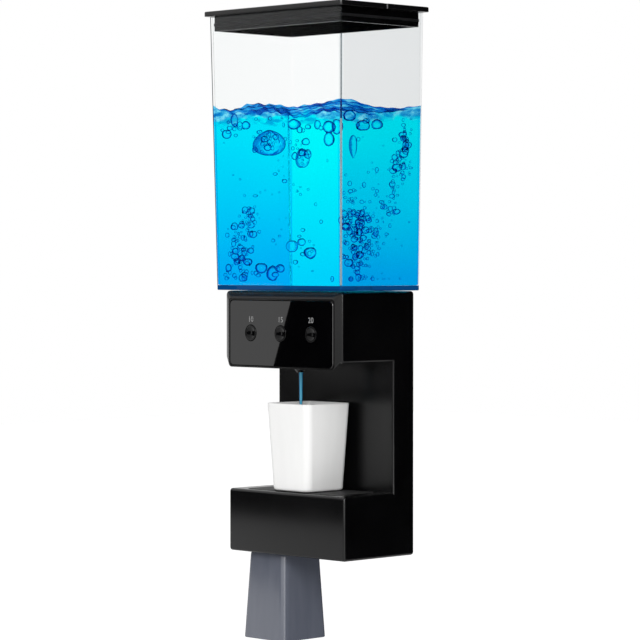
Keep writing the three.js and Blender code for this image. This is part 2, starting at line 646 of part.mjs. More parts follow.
// Three push buttons, the switches that they press, and the board that carries the switches.
function controls() {
  const flangeFront = HEAD_FRONT + WALL + GAP;
  const flangeBack = flangeFront + BUTTON_FLANGE_THICKNESS;
  const face = BEZEL_FRONT - BUTTON_PROUD;
  const edge = 0.3;
  const profile = [
    [0, face + BUTTON_DISH],
    [BUTTON_RADIUS / 2, face + 0.75 * BUTTON_DISH],
    [BUTTON_RADIUS - 2 * edge, face + edge / 4],
    [BUTTON_RADIUS - edge, face],
    [BUTTON_RADIUS, face + edge],
    [BUTTON_RADIUS, flangeFront],
    [BUTTON_RADIUS + BUTTON_FLANGE, flangeFront],
    [BUTTON_RADIUS + BUTTON_FLANGE, flangeBack],
    [0, flangeBack],
  ];
  const stem = [flangeBack + GAP, SWITCH_FRONT + PLUNGER_SINK];
  const wellSpan = [SWITCH_FRONT - PAST, SWITCH_FRONT + PLUNGER_SINK + BUTTON_TRAVEL + GAP];
  BUTTON_XS.forEach((x, i) => {
    const at = [x, BUTTON_Z];
    const cap = new THREE.LatheGeometry(profile.map(([r, y]) => new THREE.Vector2(r, y)), 20);
    add(`button_${i + 1}`, solid(cap.translate(x, 0, BUTTON_Z)), BLACK_GLASS);
    add(`switch_plunger_${i + 1}`, rod("y", PLUNGER_RADIUS, stem, at, 16), WHITE);
    const body = box(
      [x - SWITCH_WIDTH / 2, x + SWITCH_WIDTH / 2],
      [SWITCH_FRONT, BOARD_FRONT - BOND],
      [BUTTON_Z - SWITCH_WIDTH / 2, BUTTON_Z + SWITCH_WIDTH / 2],
    );
    const well = rod("y", PLUNGER_RADIUS + GAP, wellSpan, at, 16);
    add(`switch_${i + 1}`, cut(body, well), RUBBER);
  });
  // The board stands on the head's floor on two legs, one on each side of the nozzle.
  const thick = [BOARD_FRONT, BOARD_BACK];
  const low = BUTTON_Z - CONTROL_BOARD_BELOW;
  const board = box(
    [-CONTROL_BOARD_WIDTH / 2, CONTROL_BOARD_WIDTH / 2],
    thick,
    [low, BODY_HEIGHT - WALL - GAP],
  );
  const legs = CONTROL_BOARD_LEGS.map((x) =>
    box([x, x + CONTROL_BOARD_LEG], thick, [HEAD_FLOOR + GAP, low + SINK]),
  );
  add("control_board", join(board, ...legs), BOARD);
}

// The spout's socket in the top of the head: a bore with a hollow probe in it and a side outlet.
const SOCKET_FLOOR = BODY_HEIGHT - SOCKET_DEPTH;
const OUTLET_Z = SOCKET_FLOOR - OUTLET_DROP;
const SOCKET_BORE = SPOUT_RADIUS + SOCKET_PLAY;
const SOCKET_RADIUS = SOCKET_BORE + SOCKET_WALL;
const SOCKET_LEFT = SPOUT_X - SOCKET_RADIUS;
function tankSocket() {
  const at = [SPOUT_X, SPOUT_Y];
  const flangeTop = BODY_HEIGHT - WALL - GAP;
  const barb = SOCKET_LEFT - BARB_LENGTH;
  const outside = join(
    rod("z", SOCKET_RADIUS, [SOCKET_FLOOR - SOCKET_FOOT, BODY_HEIGHT - BOND], at, 24),
    rod("z", SOCKET_RADIUS + SOCKET_FLANGE, [flangeTop - SOCKET_FLANGE_THICKNESS, flangeTop], at, 24),
    rod("x", BARB_RADIUS, [barb, SOCKET_LEFT + SOCKET_WALL], [SPOUT_Y, OUTLET_Z], 10),
  );
  const inside = rod("z", SOCKET_BORE, [SOCKET_FLOOR, BODY_HEIGHT + PAST], at, 24);
  const probe = rod("z", PROBE_RADIUS, [SOCKET_FLOOR - SINK, SOCKET_FLOOR + PROBE_HEIGHT], at, 16);
  const channels = [
    rod("z", PROBE_BORE, [OUTLET_Z, SOCKET_FLOOR + PROBE_HEIGHT + PAST], at, 10),
    rod("x", BARB_BORE, [barb - PAST, SPOUT_X], [SPOUT_Y, OUTLET_Z], 8),
  ];
  add("tank_socket", cut(join(cut(outside, inside), probe), ...channels), NYLON);
}

// The clear tank, drafted towards its top, with its spout, seal and slit valve.
function tank() {
  const outline = (share, inset) => {
    const half = (TANK_BOTTOM_WIDTH + (TANK_TOP_WIDTH - TANK_BOTTOM_WIDTH) * share) / 2 - inset;
    const depth = TANK_BOTTOM_DEPTH + (TANK_TOP_DEPTH - TANK_BOTTOM_DEPTH) * share;
    return [
      [-half, half],
      [-TANK_BACK - depth + inset, -TANK_BACK - inset],
    ];
  };
  const outside = drafted((t) => outline(t, 0), [TANK_Z, TANK_TOP], TANK_CORNER);
  // The hollow starts at the floor and runs a little past the rim, with the same draft.
  const floorShare = TANK_FLOOR / TANK_HEIGHT;
  const pastShare = 1 + PAST / TANK_HEIGHT;
  const inside = drafted(
    (t) => outline(floorShare + t * (pastShare - floorShare), TANK_WALL),
    [TANK_Z + TANK_FLOOR, TANK_TOP + PAST],
    TANK_CORNER,
  );
  const at = [SPOUT_X, SPOUT_Y];
  const spoutEnd = TANK_Z - SPOUT_LENGTH;
  const spout = rod("z", SPOUT_RADIUS, [spoutEnd, TANK_Z + TANK_FLOOR / 2], at, 24);
  const sealSpan = [spoutEnd + SPOUT_SEAL_RISE, spoutEnd + SPOUT_SEAL_RISE + SPOUT_SEAL_SECTION];
  const grooveSpan = [sealSpan[0] - SEAL_PLAY, sealSpan[1] + SEAL_PLAY];
  const groove = ring("z", SPOUT_RADIUS + PAST, SPOUT_RADIUS - SPOUT_SEAL_DEPTH, grooveSpan, at, 24);
  const bore = rod("z", SPOUT_BORE, [spoutEnd - PAST, TANK_Z + TANK_FLOOR + PAST], at, 24);
  add("tank", cut(join(cut(outside, inside), spout), groove, bore), CLEAR);
  const sealOut = SOCKET_BORE - GAP;
  const sealIn = SPOUT_RADIUS - SPOUT_SEAL_DEPTH + GAP;
  add("spout_seal", ring("z", sealOut, sealIn, sealSpan, at, 24), RUBBER);
  const valveSpan = [spoutEnd + VALVE_RISE, spoutEnd + VALVE_RISE + VALVE_THICKNESS];
  add("spout_valve", ring("z", SPOUT_BORE - GAP, VALVE_BORE, valveSpan, at, 20), SILICONE);
}

// The lid: a flat plate with a skirt that drops into the tank, and a seal in the skirt's groove.
function lid() {
  const half = TANK_TOP_WIDTH / 2;
  const back = -TANK_BACK;
  const front = -TANK_BACK - TANK_TOP_DEPTH;
  const plateBottom = TANK_TOP + GAP;
  const inset = (by) => [
    [-half + by, half - by],
    [front + by, back - by],
  ];
  const plateTop = plateBottom + LID_THICKNESS;
  const plate = prism(...inset(-LID_OVERHANG), [plateBottom, plateTop], LID_CORNER);
  const skirtOut = TANK_WALL + SKIRT_PLAY;
  const foot = plateBottom - SKIRT_DEPTH;
  const skirt = cut(
    prism(...inset(skirtOut), [foot, plateBottom + SINK], SKIRT_CORNER),
    prism(...inset(skirtOut + SKIRT_WALL), [foot - PAST, plateBottom], SKIRT_CORNER),
  );
  const grooveSpan = [foot + SEAL_RISE, foot + SEAL_RISE + SEAL_GROOVE_HEIGHT];
  const grooveFloor = skirtOut + SEAL_GROOVE_DEPTH;
  const past = [grooveSpan[0] - PAST, grooveSpan[1] + PAST];
  const groove = cut(
    prism(...inset(skirtOut - PAST), grooveSpan, SKIRT_CORNER),
    prism(...inset(grooveFloor), past, SKIRT_CORNER),
  );
  const notches = [-1, 1].map((side) =>
    rod(
      "z",
      NOTCH_RADIUS,
      [plateBottom - PAST, plateTop + PAST],
      [side * (half + LID_OVERHANG + NOTCH_OUT), (front + back) / 2],
      16,
    ),
  );
  add("lid", cut(join(plate, skirt), groove, ...notches), BLACK_ABS);
  const sealSpan = [grooveSpan[0] + SEAL_PLAY, grooveSpan[1] - SEAL_PLAY];
  const seal = cut(
    prism(...inset(skirtOut - SEAL_REACH), sealSpan, SKIRT_CORNER),
    prism(...inset(grooveFloor - SEAL_PLAY), past, SKIRT_CORNER),
  );
  add("lid_seal", seal, RUBBER);
}

// A square tapered cup with a steel disc under its foot. turned hangs it mouth down from foot.
function cup(name, [x, y], foot, turned, material) {
  const span = (centre, half) => [centre - half, centre + half];
  const walls = (grow) => (t) => {
    const half = (CUP_FOOT + (CUP_RIM - CUP_FOOT) * t) / 2 - grow;
    return [span(0, half), span(0, half)];
  };
  const outside = drafted(walls(0), [0, CUP_HEIGHT], CUP_CORNER, 4);
  const floorShare = CUP_FLOOR / CUP_HEIGHT;
  const pastShare = 1 + PAST / CUP_HEIGHT;
  const inside = drafted(
    (t) => walls(CUP_WALL)(floorShare + t * (pastShare - floorShare)),
    [CUP_FLOOR, CUP_HEIGHT + PAST],
    CUP_CORNER - 1,
    4,
  );
  const recessTop = CUP_DISC_THICKNESS + 2 * BOND;
  const recess = rod("z", CUP_DISC_RADIUS + GAP, [-PAST, recessTop], [0, 0], 24);
  const disc = rod("z", CUP_DISC_RADIUS, [CUP_DISC_INSET, CUP_DISC_THICKNESS], [0, 0], 24);
  const place = (made) => (turned ? made.rotate([180, 0, 0]) : made).translate([x, y, foot]);
  add(name, place(cut(cut(outside, inside), recess)), material);
  add(`${name}_disc`, place(disc), STEEL);
}

// The rubber mat on the shelf and the three magnets that hold the cups.
function shelf() {
  const mat = prism(
    [-MAT_WIDTH / 2, MAT_WIDTH / 2],
    [MAT_Y - MAT_DEPTH / 2, MAT_Y + MAT_DEPTH / 2],
    [BASE_HEIGHT - MAT_THICKNESS + BOND, MAT_TOP],
    MAT_CORNER,
  );
  add("cup_mat", mat, RUBBER);
  const magnet = (name, radius, foot, at) =>
    add(name, rod("z", radius, [foot, foot + MAGNET_HEIGHT], at, 24), NICKEL);
  magnet("shelf_magnet", SHELF_MAGNET_RADIUS, BASE_CEILING - GAP - MAGNET_HEIGHT, SHELF_MAGNET_AT);
  HANGING_MAGNETS_AT.forEach((at, i) => {
    magnet(["left_magnet", "right_magnet"][i], HANGING_MAGNET_RADIUS, WALL + GAP, at);
  });
}

// The outline of a spur gear with involute flanks, thinned for backlash.
function gearShape(teeth, bore) {
  const pitch = (GEAR_MODULE * teeth) / 2;
  const base = pitch * Math.cos(PRESSURE_ANGLE);
  const tip = pitch + ADDENDUM * GEAR_MODULE;
  const root = pitch - DEDENDUM * GEAR_MODULE;
  const involute = (angle) => Math.tan(angle) - angle;
  const halfAt = (radius) =>
    Math.PI / (2 * teeth) -
    GEAR_BACKLASH / pitch +
    involute(PRESSURE_ANGLE) -
    involute(Math.acos(Math.min(1, base / Math.max(radius, base))));
  const flank = [root, pitch, tip];
  const points = [];
  for (let i = 0; i < teeth; i += 1) {
    const middle = (2 * Math.PI * i) / teeth;
    const at = (radius, angle) =>
      points.push(new THREE.Vector2(radius * Math.cos(angle), radius * Math.sin(angle)));
    flank.forEach((radius) => at(radius, middle - halfAt(radius)));
    [...flank].reverse().forEach((radius) => at(radius, middle + halfAt(radius)));
  }
  const shape = new THREE.Shape(points);
  if (bore) {
    const hole = new THREE.Path();
    hole.absarc(0, 0, bore, 0, 2 * Math.PI, true);
    shape.holes.push(hole);
  }
  return shape;
}

// A gear that turns on an axis along X, between two values on it. turn is its phase in radians.
function gear(teeth, bore, [x0, x1], [y, z], turn) {
  const geometry = new THREE.ExtrudeGeometry(gearShape(teeth, bore), {
    depth: x1 - x0,
    bevelEnabled: false,
    curveSegments: 6,
  });
  return solid(geometry.rotateZ(turn).rotateX(Math.PI / 2).rotateZ(Math.PI / 2).translate(x0, y, z));
}

// The peristaltic pump: body, cover, rotor with its rollers, drive gear, gear case, motor and pinion.
function pump() {
  const axis = [PUMP_Y, PUMP_Z];
  const cavity = PUMP_RADIUS - PUMP_WALL;
  const bodyLeft = PUMP_LEFT + PUMP_COVER + GAP;
  const bodyRight = bodyLeft + PUMP_BODY;
  const floor = bodyRight - PUMP_FLOOR;
  const aroundTube = (middle) => [middle - TUBE_RADIUS - GAP, middle + TUBE_RADIUS + GAP];
  const slots = [-1, 1].map((side) =>
    box(
      aroundTube(TUBE_X),
      [PUMP_Y - PUMP_RADIUS - PAST, PUMP_Y],
      aroundTube(PUMP_Z + side * TUBE_ORBIT),
    ),
  );
  add(
    "pump_body",
    cut(
      rod("x", PUMP_RADIUS, [bodyLeft, bodyRight], axis, 32),
      rod("x", cavity, [bodyLeft - PAST, floor], axis, 32),
      rod("x", PUMP_SHAFT + GAP, [floor - PAST, bodyRight + PAST], axis, 16),
      ...slots,
    ),
    NYLON,
  );
  add("pump_cover", rod("x", PUMP_RADIUS, [PUMP_LEFT, bodyLeft - GAP], axis, 32), CLEAR);

  // The rotor: two discs, three pins and the shaft that carries the drive gear.
  const leftDisc = [bodyLeft + ROTOR_PLAY, bodyLeft + ROTOR_PLAY + ROTOR_DISC];
  const rightDisc = [floor - ROTOR_PLAY - ROTOR_DISC, floor - ROTOR_PLAY];
  const gearLeft = GEAR_CASE_LEFT + GEAR_SETBACK;
  const gearSpan = [gearLeft, gearLeft + GEAR_WIDTH];
  const pins = Array.from({ length: ROLLERS }, (_, i) => {
    const angle = (2 * Math.PI * i) / ROLLERS + Math.PI / 2;
    return [PUMP_Y + ROLLER_ORBIT * Math.cos(angle), PUMP_Z + ROLLER_ORBIT * Math.sin(angle)];
  });
  const rotor = join(
    rod("x", ROTOR_RADIUS, leftDisc, axis, 24),
    rod("x", ROTOR_RADIUS, rightDisc, axis, 24),
    rod("x", PUMP_SHAFT, [leftDisc[0], gearSpan[1] + ROTOR_PLAY], axis, 16),
    ...pins.map((at) => rod("x", ROLLER_PIN, [leftDisc[0], rightDisc[1]], at, 10)),
  );
  add("pump_rotor", rotor, NYLON);
  pins.forEach((at, i) => {
    const span = [leftDisc[1] + GAP, rightDisc[0] - GAP];
    add(`pump_roller_${i + 1}`, ring("x", ROLLER_RADIUS, ROLLER_PIN + GAP, span, at, 16), STEEL);
  });
  add("drive_gear", gear(GEAR_TEETH, PUMP_SHAFT + GAP, gearSpan, axis, 0), NYLON);

  // The gear case closes the train and carries the motor.
  const caseLeft = GEAR_CASE_LEFT;
  const caseRight = MOTOR_LEFT - GAP;
  const motorAxis = [MOTOR_Y, MOTOR_Z];
  const lobe = GEAR_MODULE * (PINION_TEETH / 2 + 1) + LOBE_PLAY;
  const hollow = [caseLeft - PAST, caseRight - GEAR_CASE_FLOOR];
  add(
    "gear_case",
    cut(
      join(
        rod("x", PUMP_RADIUS, [caseLeft, caseRight], axis, 32),
        rod("x", lobe + PUMP_WALL, [caseLeft, caseRight], motorAxis, 24),
      ),
      rod("x", PUMP_RADIUS - PUMP_WALL, hollow, axis, 32),
      rod("x", lobe, hollow, motorAxis, 20),
      rod("x", MOTOR_NECK_RADIUS, [hollow[1] - PAST, caseRight + PAST], motorAxis, 20),
    ),
    NYLON,
  );
  const motorRight = MOTOR_LEFT + MOTOR_LENGTH;
  const shaftEnd = MOTOR_LEFT + MOTOR_SHAFT_DEPTH;
  const can = join(
    rod("x", MOTOR_RADIUS, [MOTOR_LEFT, motorRight], motorAxis, 32),
    rod("x", MOTOR_NECK_RADIUS - GAP, [MOTOR_LEFT - MOTOR_NECK, MOTOR_LEFT + SINK], motorAxis, 20),
    rod("x", MOTOR_NECK_RADIUS, [motorRight - SINK, motorRight + MOTOR_NECK], motorAxis, 20),
  );
  const shaftHole = [MOTOR_LEFT - MOTOR_NECK - PAST, shaftEnd + PAST];
  add("motor", cut(can, rod("x", MOTOR_SHAFT + GAP, shaftHole, motorAxis, 12)), STEEL);
  const pinion = join(
    gear(PINION_TEETH, 0, gearSpan, motorAxis, PINION_PHASE),
    rod("x", MOTOR_SHAFT, [gearSpan[0], shaftEnd], motorAxis, 12),
  );
  add("motor_pinion", pinion, BRASS);
}

// The phase that puts a tooth space of the pinion opposite a tooth of the drive gear.
const GEAR_PHASE_AT_MESH = (MESH_ANGLE * GEAR_TEETH) / (2 * Math.PI);
const PINION_PHASE =
  MESH_ANGLE + Math.PI + (Math.PI * (1 + 2 * (GEAR_PHASE_AT_MESH % 1))) / PINION_TEETH;

// The tube's middle line runs round the rotor on a circle of this radius, in this plane.
const TUBE_ORBIT = PUMP_RADIUS - PUMP_WALL - TUBE_RADIUS - GAP;
const TUBE_X = PUMP_LEFT + TUBE_SETBACK;

// One silicone tube: from the socket's outlet over the motor, round the rotor and on to the nozzle.
function doseTube() {
  const around = [90, 60, 30, 0, -30, -60, -90].map((degrees) => {
    const angle = (degrees * Math.PI) / 180;
    return [TUBE_X, PUMP_Y + TUBE_ORBIT * Math.cos(angle), PUMP_Z + TUBE_ORBIT * Math.sin(angle)];
  });
  const high = PUMP_Z + TUBE_ORBIT;
  const low = PUMP_Z - TUBE_ORBIT;
  const points = [
    [SOCKET_LEFT - GAP, SPOUT_Y, OUTLET_Z],
    [SOCKET_LEFT - 3, SPOUT_Y, OUTLET_Z],
    [SOCKET_LEFT - 6, SPOUT_Y, OUTLET_Z],
    [4, SPOUT_Y - 3, 121.5],
    [-4, -31, 124.5],
    [-13, -38.5, 125.5],
    [-21, -40.6, high],
    [TUBE_X, -37.5, high],
    [TUBE_X, -30, high],
    [TUBE_X, -24, high],
    ...around,
    [TUBE_X, -24, low],
    [TUBE_X, -30, low],
    [TUBE_X, -37, low],
    [-20, -41.6, low - 0.2],
    [-11.5, NOZZLE_Y, NOZZLE_BARB],
    [-8, NOZZLE_Y, NOZZLE_BARB],
    [-NOZZLE_RADIUS - GAP, NOZZLE_Y, NOZZLE_BARB],
  ];
  add("dose_tube", tubeAlong(points, TUBE_RADIUS, TUBE_BORE, 46), SILICONE);
}

const NOZZLE_BARB = HEAD_FLOOR + NOZZLE_BARB_RISE;

// The nozzle through the head's floor, with a side barb, and the hand sensor beside it.
function nozzle() {
  const at = [0, NOZZLE_Y];
  const tip = HEAD_BOTTOM - NOZZLE_DROP;
  const top = NOZZLE_BARB + NOZZLE_CAP;
  const collar = [HEAD_FLOOR + GAP, HEAD_FLOOR + GAP + COLLAR_THICKNESS];
  const barb = -NOZZLE_RADIUS - BARB_LENGTH;
  const taper = new THREE.CylinderGeometry(NOZZLE_RADIUS, NOZZLE_TIP_RADIUS, NOZZLE_TIP, 24);
  const body = join(
    rod("z", NOZZLE_RADIUS, [tip + NOZZLE_TIP, top], at, 24),
    solid(taper.rotateX(Math.PI / 2).translate(0, NOZZLE_Y, tip + NOZZLE_TIP / 2)),
    rod("z", NOZZLE_RADIUS + NOZZLE_COLLAR, collar, at, 24),
    rod("x", BARB_RADIUS, [barb, 0], [NOZZLE_Y, NOZZLE_BARB], 10),
  );
  const channels = [
    rod("z", NOZZLE_BORE, [tip - PAST, NOZZLE_BARB + BARB_BORE], at, 12),
    rod("x", BARB_BORE, [barb - PAST, 0], [NOZZLE_Y, NOZZLE_BARB], 8),
  ];
  add("nozzle", cut(body, ...channels), BLACK_ABS);
  const lens = join(
    rod("z", SENSOR_RADIUS, [HEAD_BOTTOM, collar[0] + SINK], SENSOR_AT, 24),
    rod("z", SENSOR_RADIUS + SENSOR_COLLAR, collar, SENSOR_AT, 24),
  );
  add("sensor_lens", lens, BLACK_GLASS);
  const [width, depth, thickness] = SENSOR_BOARD;
  const boardFoot = HEAD_FLOOR + SENSOR_BOARD_RISE;
  const module = join(
    box(
      [SENSOR_X - width / 2, SENSOR_X + width / 2],
      [NOZZLE_Y - SENSOR_EYES[1], NOZZLE_Y - SENSOR_EYES[1] + depth],
      [boardFoot, boardFoot + thickness],
    ),
    ...SENSOR_EYES.map((x) => {
      const span = [collar[1] + BOND, boardFoot + SINK];
      return rod("z", SENSOR_EYE_RADIUS, span, [SENSOR_X + x, NOZZLE_Y], 12);
    }),
  );
  add("hand_sensor", module, BOARD);
}

// The battery cell in its holder, the charging board with its socket, and the plug that covers it.
function power() {
  const ends = CELL_LENGTH / 2;
  const axis = [CELL_Y, CELL_Z];
  const cell = join(
    rod("x", CELL_RADIUS, [-ends, ends - CELL_CAP], axis, 28),
    rod("x", CELL_CAP_RADIUS, [ends - CELL_CAP - SINK, ends], axis, 16),
  );
  add("battery_cell", cell, CELL);
  const room = ends + HOLDER_PLAY;
  const trough = cut(
    box(
      [-ends - HOLDER_END, ends + HOLDER_END],
      [CELL_Y - HOLDER_SIDE, CELL_Y + HOLDER_SIDE],
      [WALL + GAP, CELL_Z],
    ),
    rod("x", CELL_RADIUS + GAP, [-room, room], axis, 28),
  );
  add("battery_holder", trough, RUBBER);
  const contact = (near) =>
    box([near, near + CONTACT_THICKNESS], [CELL_Y - 5, CELL_Y + 5], [CELL_Z - 4, CELL_Z + 6]);
  const face = ends + CONTACT_GAP;
  add("cell_contact_minus", contact(-face - CONTACT_THICKNESS), NICKEL);
  add("cell_contact_plus", contact(face), NICKEL);

  const boardXs = [-INNER + GAP, CHARGE_BOARD_RIGHT];
  const boardZs = [BOARD_Z - CHARGE_BOARD_THICKNESS, BOARD_Z - BOND];
  add("charge_board", box(boardXs, CHARGE_BOARD_YS, boardZs), BOARD);
  const mouth = -HALF + SOCKET_SETBACK;
  const socketXs = [mouth, mouth + USB.depth];
  const around = (width, height, shrink) => [
    [USB.y - width / 2 + shrink, USB.y + width / 2 - shrink],
    [USB.z - height / 2 + shrink, USB.z + height / 2 - shrink],
  ];
  const { width, height } = USB;
  const shell = box(socketXs, ...around(width, height, 0));
  const opening = box([mouth - PAST, socketXs[1] - PAST], ...around(width, height, SOCKET_SHEET));
  add("charge_socket", cut(shell, opening), STEEL);
  const flapInner = -HALF + PLUG_THICKNESS;
  const plug = join(
    box([-HALF, flapInner], ...around(PLUG_WIDTH, PLUG_HEIGHT, 0)),
    box([flapInner - SINK, socketXs[1] - 2 * PAST], ...around(width, height, 2 * SOCKET_SHEET)),
  );
  add("port_plug", plug, RUBBER);
}

// The leads: from the battery up the column to the control board, and from the motor to that board.
function leads() {
  const boardBack = BOARD_BACK + GAP;
  const end = CELL_LENGTH / 2 + CONTACT_GAP + CONTACT_THICKNESS + GAP + WIRE; // beside the contacts
  const upColumn = (x, z) => [
    [x, -10.5, 36],
    [x, -10, 70],
    [x + 1, -11, 98],
    [x + 4, -16, 106],
    [x + 4, -30, 107],
    [x + 2, -40, 109],
    [x - 3, boardBack + 2.4, z - 1],
    [x - 5, boardBack + WIRE, z + 3],
  ];
  const fromContact = (side) => [
    [side * end, CELL_Y + 3, CELL_Z + 3],
    [side * end, CELL_Y + 3.3, CELL_Z + 5],
    [side * (end - 0.6), CELL_Y + 3.7, CELL_Z + 8.9],
    [side * 31, CELL_Y + 4.5, CELL_Z + 10.9],
  ];
  const red = [...fromContact(1), ...upColumn(31, 113)];
  const black = [
    ...fromContact(-1),
    [-26, -10, 24.4],
    [0, -9.2, 25],
    [22, -9.4, 26],
    ...upColumn(27.2, 113),
  ];
  add("battery_lead_red", tubeAlong(red, WIRE, 0, 26, 6), RED_LEAD);
  add("battery_lead_black", tubeAlong(black, WIRE, 0, 36, 6), BLACK_LEAD);
  const tail = MOTOR_LEFT + MOTOR_LENGTH;
  const motorLead = (rise, z) => [
    [tail + 0.5, MOTOR_Y - 3, MOTOR_Z + rise],
    [tail + 2.2, MOTOR_Y - 3.2, MOTOR_Z + rise],
    [tail + 3.4, MOTOR_Y - 8, MOTOR_Z + rise],
    [18, boardBack + 2.6, z],
    [16.5, boardBack + WIRE, z + 2],
  ];
  add("motor_lead_red", tubeAlong(motorLead(-5, 110), WIRE, 0, 12, 6), RED_LEAD);
  add("motor_lead_black", tubeAlong(motorLead(5, 115), WIRE, 0, 12, 6), BLACK_LEAD);
}

wallBracket();
mainHousing();
backCover();
fascia();
controls();
tankSocket();
tank();
lid();
cup("cup_white", [0, CUP_Y], MAT_TOP + GAP, false, WHITE);
cup("cup_grey", [-HANGING_X, HANGING_Y], -GAP, true, SMOKE);
shelf();
pump();
doseTube();
nozzle();
power();
leads();

dispenser.position.z = -BRACKET_MIDDLE;

export default dispenser;
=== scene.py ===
"""A wall-mounted mouthwash dispenser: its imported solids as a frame, finished piece by piece."""
import json
import math

import bmesh
import bpy
import numpy as np
from mathutils import Matrix, Vector

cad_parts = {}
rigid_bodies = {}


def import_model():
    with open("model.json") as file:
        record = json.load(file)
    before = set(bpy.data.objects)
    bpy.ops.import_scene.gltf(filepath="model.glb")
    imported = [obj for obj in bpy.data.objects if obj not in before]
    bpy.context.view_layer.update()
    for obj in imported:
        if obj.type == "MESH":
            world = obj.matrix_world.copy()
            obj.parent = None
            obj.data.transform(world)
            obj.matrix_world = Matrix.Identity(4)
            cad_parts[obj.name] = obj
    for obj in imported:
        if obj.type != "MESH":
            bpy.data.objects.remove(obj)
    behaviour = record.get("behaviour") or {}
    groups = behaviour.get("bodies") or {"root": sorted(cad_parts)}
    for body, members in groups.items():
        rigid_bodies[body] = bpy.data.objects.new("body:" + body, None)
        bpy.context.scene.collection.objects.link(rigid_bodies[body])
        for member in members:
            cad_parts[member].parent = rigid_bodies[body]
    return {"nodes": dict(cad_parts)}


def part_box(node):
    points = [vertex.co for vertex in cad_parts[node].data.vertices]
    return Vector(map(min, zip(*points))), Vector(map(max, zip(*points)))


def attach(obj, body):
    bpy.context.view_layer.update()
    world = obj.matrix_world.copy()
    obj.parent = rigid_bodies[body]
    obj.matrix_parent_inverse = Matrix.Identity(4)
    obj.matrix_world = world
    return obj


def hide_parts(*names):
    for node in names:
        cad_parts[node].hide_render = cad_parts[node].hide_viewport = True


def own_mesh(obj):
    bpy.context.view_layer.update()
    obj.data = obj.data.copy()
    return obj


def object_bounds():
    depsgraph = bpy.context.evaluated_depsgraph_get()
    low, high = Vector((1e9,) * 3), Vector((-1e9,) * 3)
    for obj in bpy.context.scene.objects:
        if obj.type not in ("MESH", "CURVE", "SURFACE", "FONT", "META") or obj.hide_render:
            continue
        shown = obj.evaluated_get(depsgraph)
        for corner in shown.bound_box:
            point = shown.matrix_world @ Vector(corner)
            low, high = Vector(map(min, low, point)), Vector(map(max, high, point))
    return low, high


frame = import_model()
nodes = frame["nodes"]
cad_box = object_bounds()
MM = 0.001


# ---- wall bracket and its pad
# The wall plate is injection moulded in black ABS, in a spark-eroded mould that leaves a fine satin
# grain. White closed-cell foam tape with acrylic glue on both faces sticks it to the wall.
def linear(colour):
    """An sRGB colour written as six hex digits, as linear red, green, blue and alpha."""
    parts = np.array([int(colour[i : i + 2], 16) / 255 for i in (0, 2, 4)])
    low = parts / 12.92
    high = ((parts + 0.055) / 1.055) ** 2.4
    return (*np.where(parts <= 0.04045, low, high), 1.0)


def add_node(material, kind, inputs=None, output=0, stops=(), **settings):
    """Adds one node and gives back one of its outputs.

    An input takes a plain value or another node's output. Stops fill a colour ramp: each is a
    position and six hex digits. Settings are the node's own.
    """
    tree = material.node_tree
    made = tree.nodes.new("ShaderNode" + kind)
    for name, value in settings.items():
        setattr(made, name, value)
    for name, value in (inputs or {}).items():
        if isinstance(value, bpy.types.NodeSocket):
            tree.links.new(value, made.inputs[name])
        else:
            made.inputs[name].default_value = value
    for place, (position, colour) in enumerate(stops):
        ramp = made.color_ramp.elements
        element = ramp[place] if place < 2 else ramp.new(position)
        element.position = position
        element.color = linear(colour)
    return made.outputs[output] if made.outputs else made


def start_material(name):
    """An empty material, and the object coordinates, in metres, that its patterns read."""
    material = bpy.data.materials.new(name)
    material.use_nodes = True
    material.node_tree.nodes.clear()
    return material, add_node(material, "TexCoord", output="Object")


def mottled(material, pattern, dark, light, shiny, dull):
    """A colour and a roughness that follow one pattern, as inputs of a Principled shader."""
    tone = add_node(material, "ValToRGB", {"Fac": pattern}, stops=[(0.3, dark), (0.7, light)])
    gloss = add_node(material, "MapRange", {"Value": pattern, "To Min": shiny, "To Max": dull})
    return {"Base Color": tone, "Roughness": gloss}


def finish_material(material, inputs, grain=None):
    """One Principled shader joined to the output. Grain is a height and its depth in metres."""
    if grain:
        height, depth = grain
        inputs["Normal"] = add_node(material, "Bump", {"Height": height, "Distance": depth})
    surface = add_node(material, "BsdfPrincipled", inputs)
    add_node(material, "OutputMaterial", {"Surface": surface})
    return material


def dress(material, *names):
    """Gives CAD nodes a material."""
    for name in names:
        mesh = nodes[name].data
        mesh.materials.clear()
        mesh.materials.append(material)


def moulded_black_abs():
    # Satin black ABS: the eroded grain breaks highlights up, and handling leaves glossier clouds.
    material, place = start_material("moulded_black_abs")
    cloud = add_node(material, "TexNoise", {"Vector": place, "Scale": 1 / (22 * MM), "Detail": 3.0})
    look = mottled(material, cloud, "030304", "060607", 0.19, 0.29)
    grain = add_node(material, "TexNoise", {"Vector": place, "Scale": 1 / (0.35 * MM)})
    look |= {"IOR": 1.5, "Specular IOR Level": 0.4}
    return finish_material(material, look, (grain, 0.004 * MM))


def foam_tape():
    # White polyethylene foam: open cut cells of about half a millimetre on a dull surface.
    material, place = start_material("foam_tape")
    cells = add_node(material, "TexVoronoi", {"Vector": place, "Scale": 1 / (0.5 * MM)})
    tone = add_node(material, "ValToRGB", {"Fac": cells}, stops=[(0.0, "b9b9b6"), (0.6, "e4e4e1")])
    return finish_material(material, {"Base Color": tone, "Roughness": 0.9}, (cells, 0.08 * MM))


BLACK_ABS = moulded_black_abs()
dress(BLACK_ABS, "wall_bracket")
dress(foam_tape(), "adhesive_pad")


# ---- housing, back cover and screws
# The C-shaped housing and its flat back cover are moulded in the same black ABS, with 1.5 mm round
# outer edges. Four cross-head zinc-plated screws from behind hold the cover in counterbores.
SCENE_OBJECTS = bpy.context.scene.collection.objects


